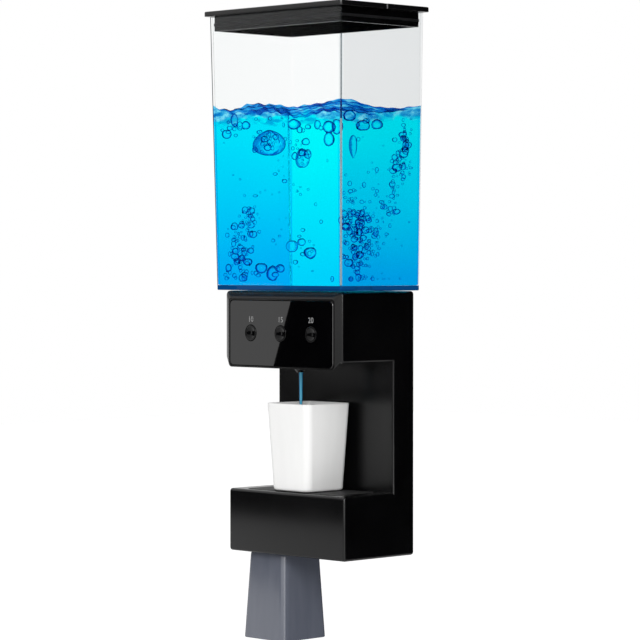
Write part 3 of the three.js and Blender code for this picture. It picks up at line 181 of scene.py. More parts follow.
def place_piece(made, body, slot, *replaced):
    """Puts a finished piece in the scene and on its body, in place of CAD nodes."""
    if made.name not in SCENE_OBJECTS:
        SCENE_OBJECTS.link(made)
    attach(made, body)
    if replaced:
        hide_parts(*replaced)
    return made


def shade(mesh, angle=32):
    """Smooth shading that keeps every edge sharper than the angle, in degrees."""
    mesh.shade_smooth()
    mesh.set_sharp_from_angle(angle=math.radians(angle))


def eased_copy(node, name, body, slot, material, edge):
    """A copy of a CAD node: triangles merged, flat faces made whole, sharp edges rounded."""
    mesh = nodes[node].data.copy()
    mesh.name = name
    work = bmesh.new()
    work.from_mesh(mesh)
    bmesh.ops.remove_doubles(work, verts=work.verts, dist=0.002 * MM)
    bmesh.ops.dissolve_limit(work, angle_limit=math.radians(0.5), verts=work.verts, edges=work.edges)
    work.to_mesh(mesh)
    work.free()
    mesh.materials.clear()
    mesh.materials.append(material)
    shade(mesh)
    made = bpy.data.objects.new(name, mesh)
    bevel = made.modifiers.new("eased_edges", "BEVEL")
    bevel.width = edge
    bevel.segments = 2
    bevel.limit_method = "ANGLE"
    bevel.angle_limit = math.radians(40)
    bevel.harden_normals = True
    return place_piece(made, body, slot, node)


def drawn_metal(name, light, dark, roughness):
    # Drawn and plated metal: fine lines along the draw, a little duller where they crowd.
    material, place = start_material(name)
    along = add_node(material, "Mapping", {"Vector": place, "Scale": (1.0, 1.0, 0.08)})
    lines = add_node(material, "TexNoise", {"Vector": along, "Scale": 1 / (0.25 * MM), "Detail": 4.0})
    look = mottled(material, lines, dark, light, roughness - 0.06, roughness + 0.08)
    return finish_material(material, look | {"Metallic": 1.0}, (lines, 0.004 * MM))


MOULDED_EDGE = 0.2 * MM
ZINC_STEEL = drawn_metal("zinc_plated_steel", "c9ccce", "94989c", 0.28)
eased_copy("main_housing", "housing", "housing_body", "black_abs", BLACK_ABS, MOULDED_EDGE)
eased_copy("back_cover", "rear_cover", "housing_body", "black_abs", BLACK_ABS, MOULDED_EDGE)
for number in (1, 2, 3, 4):
    eased_copy(
        f"cover_screw_{number}", f"screw_{number}", "housing_body", "steel", ZINC_STEEL, 0.1 * MM
    )


# ---- battery, boards and leads
# A steel-cased lithium cell in blue wrap lies in a nylon tray between nickel-plated spring
# contacts. Green glass-fibre boards, PVC-covered leads and three magnets fill the rest of the base.
def plain_moulding(name, light, dark, roughness, clouds, depth):
    # Plain moulded plastic or rubber: faint flow clouds and a shallow grain on an even colour.
    material, place = start_material(name)
    cloud = add_node(material, "TexNoise", {"Vector": place, "Scale": 1 / clouds, "Detail": 4.0})
    look = mottled(material, cloud, dark, light, roughness - 0.04, roughness + 0.06)
    grain = add_node(material, "TexNoise", {"Vector": place, "Scale": 1 / (0.3 * MM)})
    return finish_material(material, look, (grain, depth))


def lacquered_board():
    # Green solder lacquer: copper tracks 0.4 mm apart show through as slightly lighter lines.
    material, place = start_material("lacquered_board")
    tracks = add_node(
        material,
        "TexWave",
        {"Vector": place, "Scale": 0.05 / (0.4 * MM), "Distortion": 1.5, "Detail Scale": 0.4},
        output="Fac",
    )
    tone = add_node(material, "ValToRGB", {"Fac": tracks}, stops=[(0.45, "0f5a30"), (0.55, "1c7a45")])
    return finish_material(material, {"Base Color": tone, "Roughness": 0.3}, (tracks, 0.02 * MM))


NYLON = plain_moulding("natural_nylon", "e6e1d3", "d8d2c2", 0.45, 8 * MM, 0.004 * MM)
NICKEL = drawn_metal("nickel_plate", "dcd6cb", "b3ada2", 0.2)
dress(NYLON, "battery_holder")
dress(plain_moulding("cell_wrap", "2b63a0", "24578f", 0.3, 15 * MM, 0.002 * MM), "battery_cell")
dress(NICKEL, "cell_contact_minus", "cell_contact_plus", "charge_socket")
dress(NICKEL, "shelf_magnet", "left_magnet", "right_magnet")
dress(lacquered_board(), "charge_board", "control_board")
RED_PVC = plain_moulding("red_lead_cover", "a8201c", "921a17", 0.4, 5 * MM, 0.002 * MM)
BLACK_PVC = plain_moulding("black_lead_cover", "1b1b1c", "141415", 0.4, 5 * MM, 0.002 * MM)
dress(RED_PVC, "battery_lead_red", "motor_lead_red")
dress(BLACK_PVC, "battery_lead_black", "motor_lead_black")

# ---- charging port's plug
# A small plug of black rubber closes the charging port in the left side. It is moulded in one piece
# and held by its own squeeze.
BLACK_RUBBER = plain_moulding("black_rubber", "1d1d1e", "131314", 0.62, 6 * MM, 0.02 * MM)
eased_copy("port_plug", "charging_plug", "plug_body", "black_rubber", BLACK_RUBBER, 0.25 * MM)

# ---- pump, motor and dose tube
# A peristaltic pump in natural nylon: three steel rollers squeeze a clear silicone tube, driven
# by nylon and brass gears from a small steel-cased motor.
dress(NYLON, "pump_body", "pump_rotor", "drive_gear", "gear_case", "tank_socket")
dress(ZINC_STEEL, "pump_roller_1", "pump_roller_2", "pump_roller_3", "motor")
dress(drawn_metal("cut_brass", "d6b36a", "a8853f", 0.25), "motor_pinion")
SILICONE = plain_moulding("clear_silicone", "dfe4e6", "cdd4d7", 0.4, 10 * MM, 0.003 * MM)
dress(SILICONE, "dose_tube", "pump_cover", "spout_valve")


# ---- bezel and glass panel
# A black ABS bezel frames the control panel and droops below the head to hide the nozzle. The panel
# is 1.4 mm float glass with ground edges and three drilled holes, painted black on its back.
def rounded_outlines(half_width, half_height, radius, arc=7, side=1):
    """Outlines, counter-clockwise, one to a row.

    Each corner is its centre plus the radius times the cosine and sine of a turn through a quarter
    circle, in arc steps. Each straight between two corners is cut into side lengths.
    """
    half_width, half_height, radius = (
        np.asarray(value, float)[:, None] for value in (half_width, half_height, radius)
    )
    corners = []
    for k, (right, up) in enumerate(((1, -1), (1, 1), (-1, 1), (-1, -1))):
        turn = np.linspace(k - 1, k, arc + 1) * math.pi / 2
        across = right * (half_width - radius) + radius * np.cos(turn)
        along = up * (half_height - radius) + radius * np.sin(turn)
        corners.append(np.stack([across, along], axis=-1))
    share = np.linspace(0, 1, side + 1)[1:-1][None, :, None]
    pieces = []
    for here, following in zip(corners, corners[1:] + corners[:1]):
        pieces += [here, here[:, -1:] * (1 - share) + following[:, :1] * share]
    return np.concatenate(pieces, axis=1)


def carried_rings(path, upright=False, arc=7, side=1):
    """Rings round a path. Each row is half width, half height, corner radius and centre x, y, z.

    The rings lie level, or upright across the Y axis, where the half height is along Z.
    """
    outline = rounded_outlines(path[:, 0], path[:, 1], path[:, 2], arc, side)
    x = outline[..., 0] + path[:, 3:4]
    if upright:
        return np.stack([x, path[:, 4:5] + 0 * x, outline[..., 1] + path[:, 5:6]], axis=-1)
    return np.stack([x, outline[..., 1] + path[:, 4:5], path[:, 5:6] + 0 * x], axis=-1)


def rounded_path(points, reach, steps=5):
    """A polyline, in any number of dimensions, with each inner corner replaced by a parabola.

    The parabola leaves one side at the reach from the corner and joins the next at the same reach,
    with the corner as its control point. reach is one length, or one for each inner corner.
    """
    points = np.asarray(points, float)
    before, corner, after = points[:-2], points[1:-1], points[2:]
    reach = np.broadcast_to(reach, len(corner))[:, None]
    leave = corner + (before - corner) * reach / np.linalg.norm(before - corner, axis=1)[:, None]
    meet = corner + (after - corner) * reach / np.linalg.norm(after - corner, axis=1)[:, None]
    share = np.linspace(0, 1, steps + 1)[None, :, None]
    bends = (
        (1 - share) ** 2 * leave[:, None]
        + 2 * share * (1 - share) * corner[:, None]
        + share**2 * meet[:, None]
    )
    return np.concatenate([points[:1], bends.reshape(-1, points.shape[1]), points[-1:]])


def mesh_of(name, points, faces, material):
    """A mesh of points, given one to a row, and faces, in one material."""
    mesh = bpy.data.meshes.new(name)
    mesh.from_pydata(points, [], faces)
    mesh.materials.append(material)
    return mesh


def quads_between(here, after):
    """Quads between rows of point numbers and the rows that follow, each row closed on itself."""
    quads = np.stack([here, np.roll(here, -1, 1), np.roll(after, -1, 1), after], axis=-1)
    return quads.reshape(-1, 4)


def skin(name, rings, material, closed=False, angle=32):
    """A mesh through rings of equal length: quads between neighbours, and a flat face on each end.

    Rings run counter-clockwise as seen by someone towards whom they advance. A closed skin joins
    its last ring to its first and has no end faces.
    """
    count, length = rings.shape[:2]
    index = np.arange(count * length).reshape(count, length)
    here = index if closed else index[:-1]
    after = np.roll(index, -1, axis=0) if closed else index[1:]
    faces = quads_between(here, after).tolist()
    if not closed:
        faces += [index[0][::-1].tolist(), index[-1].tolist()]
    mesh = mesh_of(name, rings.reshape(-1, 3).tolist(), faces, material)
    shade(mesh, angle)
    return bpy.data.objects.new(name, mesh)


def turned(name, profile, centre, material, axis="Y", sides=48, angle=32):
    """A surface of revolution: each row of the profile is a place along the axis and a radius."""
    profile = np.asarray(profile, float)
    around = np.arange(sides) * 2 * math.pi / sides
    along = np.repeat(profile[:, :1], sides, axis=1)
    first = centre[0] + profile[:, 1:] * np.cos(around)
    second = profile[:, 1:] * np.sin(around)
    if axis == "Y":
        rings = np.stack([first, along, centre[2] + second], axis=-1)
    else:
        rings = np.stack([first, centre[1] + second, along], axis=-1)
    return skin(name, rings, material, angle=angle)


def work_solid(made, *tools):
    """Joins tools to a piece or cuts them out of it for good. Each is an operation and a tool."""
    SCENE_OBJECTS.link(made)
    for operation, tool in tools:
        SCENE_OBJECTS.link(tool)
        step = made.modifiers.new("work", "BOOLEAN")
        step.operation = operation
        step.object = tool
        step.solver = "EXACT"
    bpy.context.view_layer.update()
    shown = made.evaluated_get(bpy.context.evaluated_depsgraph_get())
    mesh = bpy.data.meshes.new_from_object(shown)
    made.modifiers.clear()
    made.data = mesh
    shade(mesh)
    for _, tool in tools:
        bpy.data.objects.remove(tool)
    return made


def back_painted_glass():
    # Float glass over black paint: a deep black with mirror-sharp highlights and faint smears.
    material, place = start_material("back_painted_glass")
    smear = add_node(material, "TexNoise", {"Vector": place, "Scale": 1 / (14 * MM), "Detail": 5.0})
    look = mottled(material, smear, "020203", "040405", 0.01, 0.035)
    return finish_material(material, look | {"IOR": 1.52})


bezel_low, bezel_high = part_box("fascia_bezel")
glass_low, glass_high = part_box("control_panel")
glass_centre = (glass_low + glass_high) / 2
HEAD_HALF = bezel_high.x
BEZEL_FACE = bezel_low.y
BEZEL_FOOT = BEZEL_FACE + 1.9 * MM
BEZEL_RIM = 1.0 * MM
GLASS_GAP = 0.15 * MM
CORNER = 2.2 * MM
DROOP = 3.7 * MM
POCKET = 1.5 * MM
face_half = (glass_high.x + BEZEL_RIM, (glass_high.z - glass_low.z) / 2 + BEZEL_RIM)
well_half = (glass_high.x + GLASS_GAP, face_half[1] - BEZEL_RIM + GLASS_GAP)


def bezel_row(y, half, shrink=0.0, rise=0.0):
    """One row of the bezel's path: an upright ring at y, shrunk, its middle above the glass's."""
    return (half[0] - shrink, half[1] - shrink, CORNER, 0.0, y, glass_centre.z + rise)


foot_half = (HEAD_HALF, face_half[1])
bezel_path = rounded_path(
    [
        bezel_row(BEZEL_FOOT, foot_half, 6 * MM, DROOP),
        bezel_row(BEZEL_FOOT, foot_half, 0, DROOP),
        bezel_row(BEZEL_FACE, face_half),
        bezel_row(BEZEL_FACE, well_half),
        bezel_row(BEZEL_FACE + POCKET, well_half),
        bezel_row(BEZEL_FACE + POCKET, well_half, 4 * MM),
    ],
    np.array([0.4, 0.25, 0.15, 0.3]) * MM,
)
bezel = skin("bezel", carried_rings(bezel_path, upright=True), BLACK_ABS, closed=True)
place_piece(bezel, "housing_body", "black_abs", "fascia_bezel")

ARRIS = 0.3 * MM
BUTTON_HOLE = 4.3 * MM
button_centres = [sum(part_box(f"button_{number}"), Vector()) / 2 for number in (1, 2, 3)]
pane_half = (glass_high.x, (glass_high.z - glass_low.z) / 2)
glass_path = rounded_path(
    [
        bezel_row(glass_high.y, pane_half, ARRIS),
        bezel_row(glass_high.y - ARRIS, pane_half),
        bezel_row(glass_low.y + ARRIS, pane_half),
        bezel_row(glass_low.y, pane_half, ARRIS),
    ],
    0.12 * MM,
    3,
)
BLACK_GLASS = back_painted_glass()
glass = skin("glass_panel", carried_rings(glass_path, upright=True), BLACK_GLASS)
drill_profile = [(glass_high.y + MM, BUTTON_HOLE), (glass_low.y - MM, BUTTON_HOLE)]
drills = [turned("drill", drill_profile, centre, BLACK_GLASS) for centre in button_centres]
work_solid(glass, *(("DIFFERENCE", drill) for drill in drills))
place_piece(glass, "housing_body", "black_glass", "control_panel")


# ---- buttons and their switches
# Three round push buttons, moulded in black polycarbonate and polished, with a dished face for the
# fingertip and a flange behind the panel. Each presses a small black tactile switch on the board.
def polished_polycarbonate():
    # Polished black plastic: almost a mirror, with rub marks from fingertips as soft dull patches.
    material, place = start_material("polished_black_polycarbonate")
    rub = add_node(material, "TexNoise", {"Vector": place, "Scale": 1 / (3 * MM), "Detail": 4.0})
    look = mottled(material, rub, "030304", "060607", 0.06, 0.18)
    return finish_material(material, look | {"IOR": 1.58, "Specular IOR Level": 0.2})


BUTTON_RADIUS = 4 * MM
BUTTON_DISH = 0.7 * MM
BUTTON_LIP = 0.8 * MM
FLANGE = 0.8 * MM
POLISHED_BLACK = polished_polycarbonate()
for number, centre in enumerate(button_centres, start=1):
    low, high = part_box(f"button_{number}")
    skirt = rounded_path(
        [
            (high.y, 0.3 * MM),
            (high.y, high.x - centre.x),
            (high.y - FLANGE, high.x - centre.x),
            (high.y - FLANGE, BUTTON_RADIUS),
            (low.y, BUTTON_RADIUS),
            (low.y, BUTTON_RADIUS - 0.75 * MM),
        ],
        np.array([0.15, 0.15, 0.1, 0.4]) * MM,
    )
    # The dish is a parabola: its depth falls from the middle with the square of the radius.
    radii = np.linspace(BUTTON_RADIUS - BUTTON_LIP, 0.2 * MM, 10)
    depths = low.y + BUTTON_DISH * (1 - (radii / radii[0]) ** 2)
    profile = np.concatenate([skirt, np.stack([depths, radii], axis=1)])
    button = turned(f"push_button_{number}", profile, centre, POLISHED_BLACK, angle=45)
    place_piece(button, f"button_{number}_body", "button_black", f"button_{number}")
WHITE_STEM = plain_moulding("white_acetal", "ecebe7", "dddcd7", 0.35, 4 * MM, 0.002 * MM)
dress(WHITE_STEM, "switch_plunger_1", "switch_plunger_2", "switch_plunger_3")
dress(BLACK_PVC, "switch_1", "switch_2", "switch_3")

# ---- numbers on the glass
# The dose that each button gives, screen printed above it in pale grey ink.
NUMBER_HEIGHT = 2.9 * MM
NUMBER_RISE = 5.7 * MM
INK = 0.02 * MM
GREY_INK = plain_moulding("grey_screen_ink", "9b9b9b", "7d7d7d", 0.5, 0.8 * MM, 0.004 * MM)
prints = bmesh.new()
for centre, dose in zip(button_centres, ("10", "15", "20")):
    text = bpy.data.curves.new("dose", "FONT")
    text.body = dose
    text.size = NUMBER_HEIGHT * 1.35
    text.extrude = INK
    text.resolution_u = 3
    text.align_x = "CENTER"
    holder = bpy.data.objects.new("dose", text)
    SCENE_OBJECTS.link(holder)
    mesh = bpy.data.meshes.new_from_object(holder)
    mesh.transform(
        Matrix.Translation((centre.x, glass_low.y - INK, centre.z + NUMBER_RISE))
        @ Matrix.Rotation(math.pi / 2, 4, "X")
    )
    prints.from_mesh(mesh)
    bpy.data.objects.remove(holder)
number_mesh = bpy.data.meshes.new("dose_numbers")
prints.to_mesh(number_mesh)
prints.free()
number_mesh.materials.append(GREY_INK)
place_piece(bpy.data.objects.new("dose_numbers", number_mesh), "housing_body", "white_plastic")

# ---- nozzle and hand sensor
# The black ABS nozzle hangs through the head's floor behind the bezel. Beside it a lens of smoked
# acrylic covers the infrared eye that finds a hand or a cup.
eased_copy("nozzle", "dose_nozzle", "housing_body", "black_abs", BLACK_ABS, MOULDED_EDGE)
dress(BLACK_GLASS, "sensor_lens")
dress(BLACK_PVC, "hand_sensor")


# ---- tank, spout seal and valve
# The tank is moulded in clear styrene with 1.2 mm walls that lean out towards the rim, and polished.
# Its spout carries a black rubber ring and a silicone slit valve, and stands in the head's socket.
def see_through(material, tint, gloss, bump, share):
    """Joins a clear tinted look, which mirrors a share of the light, to the output."""
    through = add_node(material, "BsdfTransparent", {"Color": tint})
    mirror = add_node(material, "BsdfGlossy", {"Roughness": gloss, "Normal": bump})
    mixed = add_node(material, "MixShader", {0: share, 1: through, 2: mirror})
    add_node(material, "OutputMaterial", {"Surface": mixed})
    return material


def clear_styrene(name, stops):
    # Clear polished plastic: it shows what is behind it, darker where it is seen edge on, and
    # mirrors a little of the room, rising with the fifth power of the slant, over flow lines.
    material, place = start_material(name)
    along = add_node(material, "Mapping", {"Vector": place, "Scale": (1.0, 1.0, 0.12)})
    flow = add_node(material, "TexNoise", {"Vector": along, "Scale": 1 / (9 * MM)})
    bump = add_node(material, "Bump", {"Height": flow, "Distance": 0.012 * MM})
    facing = add_node(material, "LayerWeight", {"Blend": 0.5}, output="Facing")
    tint = add_node(material, "ValToRGB", {"Fac": facing}, stops=stops)
    gloss = add_node(material, "MapRange", {"Value": flow, "To Min": 0.02, "To Max": 0.05})
    rise = add_node(material, "Math", {0: facing, 1: 5.0}, operation="POWER")
    share = add_node(material, "MapRange", {"Value": rise, "To Min": 0.006, "To Max": 1.0})
    return see_through(material, tint, gloss, bump, share)


def paint_faces(mesh, material, chosen):
    """Gives some faces another material. chosen takes the faces' centres, as rows, to true or false."""
    centres = np.empty(len(mesh.polygons) * 3)
    mesh.polygons.foreach_get("center", centres)
    index = np.empty(len(mesh.polygons), np.int32)
    mesh.polygons.foreach_get("material_index", index)
    index[chosen(centres.reshape(-1, 3))] = len(mesh.materials)
    mesh.materials.append(material)
    mesh.polygons.foreach_set("material_index", index)


tank_low, tank_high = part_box("tank")
TANK_RIM = tank_high.z
TANK_HEIGHT = 139.5 * MM
TANK_FOOT = TANK_RIM - TANK_HEIGHT
TANK_FLOOR = 2.5 * MM
TANK_WALL = 1.2 * MM
TANK_CORNER = 1.6 * MM
INNER_CORNER = 0.6 * MM
# Half the tank's width and half its depth, in millimetres: at the foot, and how much the rim adds.
FOOT_HALF = (45.3, 28.2)
RIM_ADDS = (2.7, 1.25)
SPOUT = Vector((21.5, -19.0, 0)) * MM
SPOUT_RADIUS = 5.5 * MM
SPOUT_BORE = 4 * MM
GROOVE_RADIUS = 4.6 * MM
GROOVE_FOOT = tank_low.z + 3 * MM
GROOVE_TOP = tank_low.z + 5 * MM


def tank_half(z, inset):
    """Half width, half depth and middle in Y of the tapered tank at a height, moved in by the inset.

    Width and depth grow in a straight line from the foot to the rim; the back stays in one plane.
    """
    share = (z - TANK_FOOT) / (TANK_RIM - TANK_FOOT)
    half_width = (FOOT_HALF[0] + RIM_ADDS[0] * share) * MM
    half_depth = (FOOT_HALF[1] + RIM_ADDS[1] * share) * MM
    return half_width - inset, half_depth - inset, tank_high.y - half_depth


def tank_row(z, inset, radius):
    """One row of a path of level rings that follow the tank's tapered outline."""
    half_width, half_depth, middle = tank_half(z, inset)
    return (half_width, half_depth, radius, 0.0, middle, z)


floor_top = TANK_FOOT + TANK_FLOOR
tank_path = rounded_path(
    [
        tank_row(TANK_FOOT, 4 * MM, TANK_CORNER),
        tank_row(TANK_FOOT, 0, TANK_CORNER),
        tank_row(floor_top, 0, TANK_CORNER),
        tank_row(TANK_RIM, 0, TANK_CORNER),
        tank_row(TANK_RIM, TANK_WALL, INNER_CORNER),
        tank_row(floor_top, TANK_WALL, INNER_CORNER),
        tank_row(floor_top, TANK_WALL + 3 * MM, INNER_CORNER),
    ],
    np.array([0.5, 0.02, 0.4, 0.4, 0.5]) * MM,
)
CLEAR = clear_styrene(
    "clear_styrene", [(0.0, "ffffff"), (0.6, "fdfefe"), (0.85, "a9adb0"), (0.97, "2c2e31")]
)
tank = skin("clear_tank", carried_rings(tank_path), CLEAR)
spout_profile = rounded_path(
    [
        (tank_low.z, 3.2 * MM),
        (tank_low.z, SPOUT_RADIUS),
        (GROOVE_FOOT, SPOUT_RADIUS),
        (GROOVE_FOOT, GROOVE_RADIUS),
        (GROOVE_TOP, GROOVE_RADIUS),
        (GROOVE_TOP, SPOUT_RADIUS),
        (TANK_FOOT + MM, SPOUT_RADIUS),
    ],
    np.array([0.4, 0.1, 0.1, 0.1, 0.1]) * MM,
    2,
)
bore_profile = [(tank_low.z - MM, SPOUT_BORE), (floor_top + MM, SPOUT_BORE)]
spout = turned("spout", spout_profile, SPOUT, CLEAR, axis="Z")
bore = turned("bore", bore_profile, SPOUT, CLEAR, axis="Z")
work_solid(tank, ("UNION", spout), ("DIFFERENCE", bore))
# Painted shade: light that enters the front corners and the floor's edges is bent away, so they
# are tinted darker. The right wall is tinted a faint grey, painted shade on that side of the tank.
corner_stops = [(0.0, "a8aeb1"), (0.03, "b4babd"), (0.07, "f2f4f5"), (0.34, "e6e9ea")]
corner_stops += [(0.5, "5a5e61"), (0.7, "1c1d1f")]
CLEAR_CORNER = clear_styrene("clear_styrene_corner", corner_stops)
# Painted refraction: the blue of the liquid, bent through the floor, is painted on its edges.
FLOOR_EDGE = clear_styrene(
    "clear_styrene_floor_edge", [(0.0, "458fbc"), (0.4, "3a82ae"), (0.8, "1f5488")]
)
# The right wall's faint grey tint is painted shade.
SHADED_RIGHT_WALL = clear_styrene(
    "styrene_painted_shade", [(0.0, "ebeced"), (0.6, "e6e7e8"), (0.85, "8c9093"), (0.97, "2c2e31")]
)


def on_shaded_right_wall(centres):
    half_width, half_depth, middle = tank_half(centres[:, 2], TANK_WALL / 2)
    flat = np.abs(centres[:, 1] - middle) < half_depth - MM
    return (centres[:, 0] > half_width) & flat & (centres[:, 2] > floor_top)


def in_corner(centres):
    half_width, half_depth, middle = tank_half(centres[:, 2], TANK_CORNER * 1.02)
    beyond = (np.abs(centres[:, 0]) > half_width) & (centres[:, 1] < middle - half_depth)
    return beyond & (centres[:, 2] > floor_top)


def in_floor_edge(centres):
    half_width, half_depth, middle = tank_half(centres[:, 2], TANK_WALL / 2)
    outer = (np.abs(centres[:, 0]) > half_width) | (np.abs(centres[:, 1] - middle) > half_depth)
    return outer & (centres[:, 2] < floor_top)


paint_faces(tank.data, SHADED_RIGHT_WALL, on_shaded_right_wall)
paint_faces(tank.data, CLEAR_CORNER, in_corner)
paint_faces(tank.data, FLOOR_EDGE, in_floor_edge)
place_piece(tank, "tank_body", "clear_plastic", "tank")
dress(BLACK_RUBBER, "spout_seal")


# ---- mouthwash in the tank
# About 0.4 litres of clear blue mouthwash, just poured: its top still rolls, and bubbles climb and
# crowd in clumps behind the front and the right wall.
LEVEL = 154.5 * MM
LIQUID_GAP = 0.08 * MM
# A clear wall bends light so that the liquid seems to fill it nearly to its outer face, so the
# liquid's sides are drawn this far inside that face.
LIQUID_INSET = 0.45 * MM


def tinted_mouthwash():
    # Dye-tinted water, with painted shade: bright cyan near the top, deeper blue towards the floor,
    # deeper again on the two side walls, through which more of the liquid is seen slantwise. Where the
    # rolling top meets the walls it curls, and light bent away there leaves a painted mottled deep blue
    # band with pale painted highlights.
    material, place = start_material("tinted_mouthwash")
    axes = {"Vector": place}
    x, z = (add_node(material, "SeparateXYZ", axes, output=axis) for axis in "XZ")
    swirl = add_node(material, "TexNoise", {"Vector": place, "Scale": 1 / (40 * MM), "Detail": 1.0})
    rise = add_node(material, "MapRange", {"Value": z, "From Min": floor_top, "From Max": LEVEL})
    depth = add_node(material, "Math", {0: swirl, 1: 0.25, 2: rise}, operation="MULTIPLY_ADD")
    tint, left, right = (
        add_node(material, "ValToRGB", {"Fac": depth}, stops=[(0.15, deep), (1.0, high)])
        for deep, high in (("00d4ff", "00fcff"), ("008df2", "00d1ff"), ("0090f6", "00e2ff"))
    )
    side = tank_half(floor_top, TANK_WALL)[0] - 0.4 * MM
    for wall, test, tone in ((-side, "LESS_THAN", left), (side, "GREATER_THAN", right)):
        past = add_node(material, "Math", {0: x, 1: wall}, operation=test)
        tint = add_node(material, "Mix", {0: past, 6: tint, 7: tone}, output=2, data_type="RGBA")
    roll = add_node(material, "Mapping", {"Vector": place, "Scale": (1.0, 1.0, 2.6)})
    curl = add_node(material, "TexNoise", {"Vector": roll, "Scale": 1 / (13 * MM), "Detail": 3.0})
    edge = add_node(material, "Math", {0: curl, 1: 16 * MM, 2: z}, operation="MULTIPLY_ADD")
    limits = {"From Min": LEVEL + 0.5 * MM, "From Max": LEVEL + 3.5 * MM, "To Max": 0.95}
    band = add_node(material, "MapRange", {"Value": edge} | limits)
    band_mottle = add_node(material, "TexNoise", {"Vector": roll, "Scale": 1 / (6 * MM), "Detail": 4.0})
    stops = [(0.42, "0a70c8"), (0.49, "30a6e4"), (0.57, "86e4fc")]
    deep = add_node(material, "ValToRGB", {"Fac": band_mottle}, stops=stops)
    tint = add_node(material, "Mix", {0: band, 6: tint, 7: deep}, output=2, data_type="RGBA")
    look = {"Base Color": tint, "Transmission Weight": 1.0, "Roughness": 0.0, "IOR": 1.03}
    return finish_material(material, look)


def rolling_top():
    # The top of the liquid, seen mostly from below: the deep blue of the liquid that it mirrors is
    # painted into its colour, in streaks with pale painted highlights where small waves tilt it.
    material, place = start_material("mouthwash_top")
    long_waves = add_node(material, "Mapping", {"Vector": place, "Scale": (1.0, 0.35, 1.0)})
    streaks = add_node(
        material, "TexNoise", {"Vector": long_waves, "Scale": 1 / (7 * MM), "Detail": 3.0}
    )
    stops = [(0.38, "1058b8"), (0.47, "1c86dc"), (0.54, "4abcf2"), (0.62, "a4e8ff")]
    tint = add_node(material, "ValToRGB", {"Fac": streaks}, stops=stops)
    bump = add_node(material, "Bump", {"Height": streaks, "Distance": 0.5 * MM})
    share = add_node(material, "MapRange", {"Value": streaks, "To Min": 0.02, "To Max": 0.1})
    return see_through(material, tint, 0.1, bump, share)


def painted_corner_highlight():
    # Painted highlight: the thin film of liquid in the tank's corners bends the white room towards
    # the eye, painted here as a pale colour.
    return plain_moulding("corner_painted_highlight", "f4fcff", "d4f2ff", 0.2, 12 * MM, 0.002 * MM)


def wave(x, y):
    """Height of the rolling top, in metres, over a tank 96 mm wide whose front wall is at y = -57.

    A swell whose waves grow longer to the right, as a power of the way across, with a cross swell
    and small ripples, all sines, on a slope down to the back.
    """
    x, y = x / MM, y / MM
    past_front = y + 57
    slope = -1.5 * past_front / 53
    way = np.clip((x + 48) / 96, 0, 1) ** 0.62
    swell = 1.2 * np.cos(2 * math.pi * (2 * way + past_front / 54))
    cross = 0.45 * np.sin(2 * math.pi * (x / 21 - y / 27))
    ripple = 0.3 * np.sin(2 * math.pi * (x / 8.3 + y / 9.7)) * (1.4 - x / 60)
    return (swell + cross + ripple + slope) * MM


LIQUID_CORNER = 0.7 * MM
SIDES_TOP = LEVEL - 8 * MM


def liquid_row(z, inset=0.0):
    return tank_row(z, LIQUID_INSET + inset, LIQUID_CORNER)


foot_rows = [liquid_row(floor_top + LIQUID_GAP, inset) for inset in (3 * MM, 0.5 * MM)]
wall_rows = [liquid_row(z) for z in np.linspace(floor_top + 0.6 * MM, SIDES_TOP, 8)]
half_width, half_depth, middle = tank_half(LEVEL, LIQUID_INSET)
shares = np.linspace(1, 0.02, 40)[:, None]
top_rows = np.array([half_width, half_depth, LIQUID_CORNER, 0, 0, 0]) * shares
top_rows += np.array([0, 0, 0, 0, middle, LEVEL])
liquid_path = np.concatenate([foot_rows, wall_rows, top_rows])
liquid_rings = carried_rings(liquid_path, arc=3, side=40)
top_rings = liquid_rings[-len(top_rows) :]
top_rings[..., 2] += wave(top_rings[..., 0], top_rings[..., 1])
liquid = skin("mouthwash", liquid_rings, tinted_mouthwash())


def in_corner_highlight(centres):
    half_width, half_depth, middle = tank_half(centres[:, 2], LIQUID_INSET + LIQUID_CORNER)
    return (np.abs(centres[:, 0]) > half_width) & (np.abs(centres[:, 1] - middle) > half_depth)


def on_top(centres):
    half_width, half_depth, middle = tank_half(centres[:, 2], LIQUID_INSET + 0.05 * MM)
    inside = (np.abs(centres[:, 0]) < half_width) & (np.abs(centres[:, 1] - middle) < half_depth)
    return inside & (centres[:, 2] > SIDES_TOP)


paint_faces(liquid.data, painted_corner_highlight(), in_corner_highlight)
paint_faces(liquid.data, rolling_top(), on_top)
place_piece(liquid, "tank_body", "clear_plastic")


def air_bubble():
    # Air in blue liquid: clear in the middle, with a deep blue rim where light is bent away.
    material, place = start_material("air_bubble")
    facing = add_node(material, "LayerWeight", {"Blend": 0.5}, output="Facing")
    speck = add_node(material, "TexNoise", {"Vector": place, "Scale": 1 / (1.5 * MM)})
    bent = add_node(material, "Math", {0: speck, 1: 0.35, 2: facing}, operation="MULTIPLY_ADD")
    stops = [(0.3, "f2fcff"), (0.46, "c8ecff"), (0.56, "5aa4e4"), (0.66, "1560be")]
    tint = add_node(material, "ValToRGB", {"Fac": bent}, stops=[*stops, (0.85, "063a94")])
    look = {"Base Color": tint, "Transmission Weight": 1.0, "Roughness": 0.0, "IOR": 1.04}
    return finish_material(material, look)


AIR = air_bubble()
BUBBLES_LOW = floor_top + 3.5 * MM
BUBBLES_HIGH = LEVEL - 6 * MM
CORNER_CLEARANCE = 4 * MM


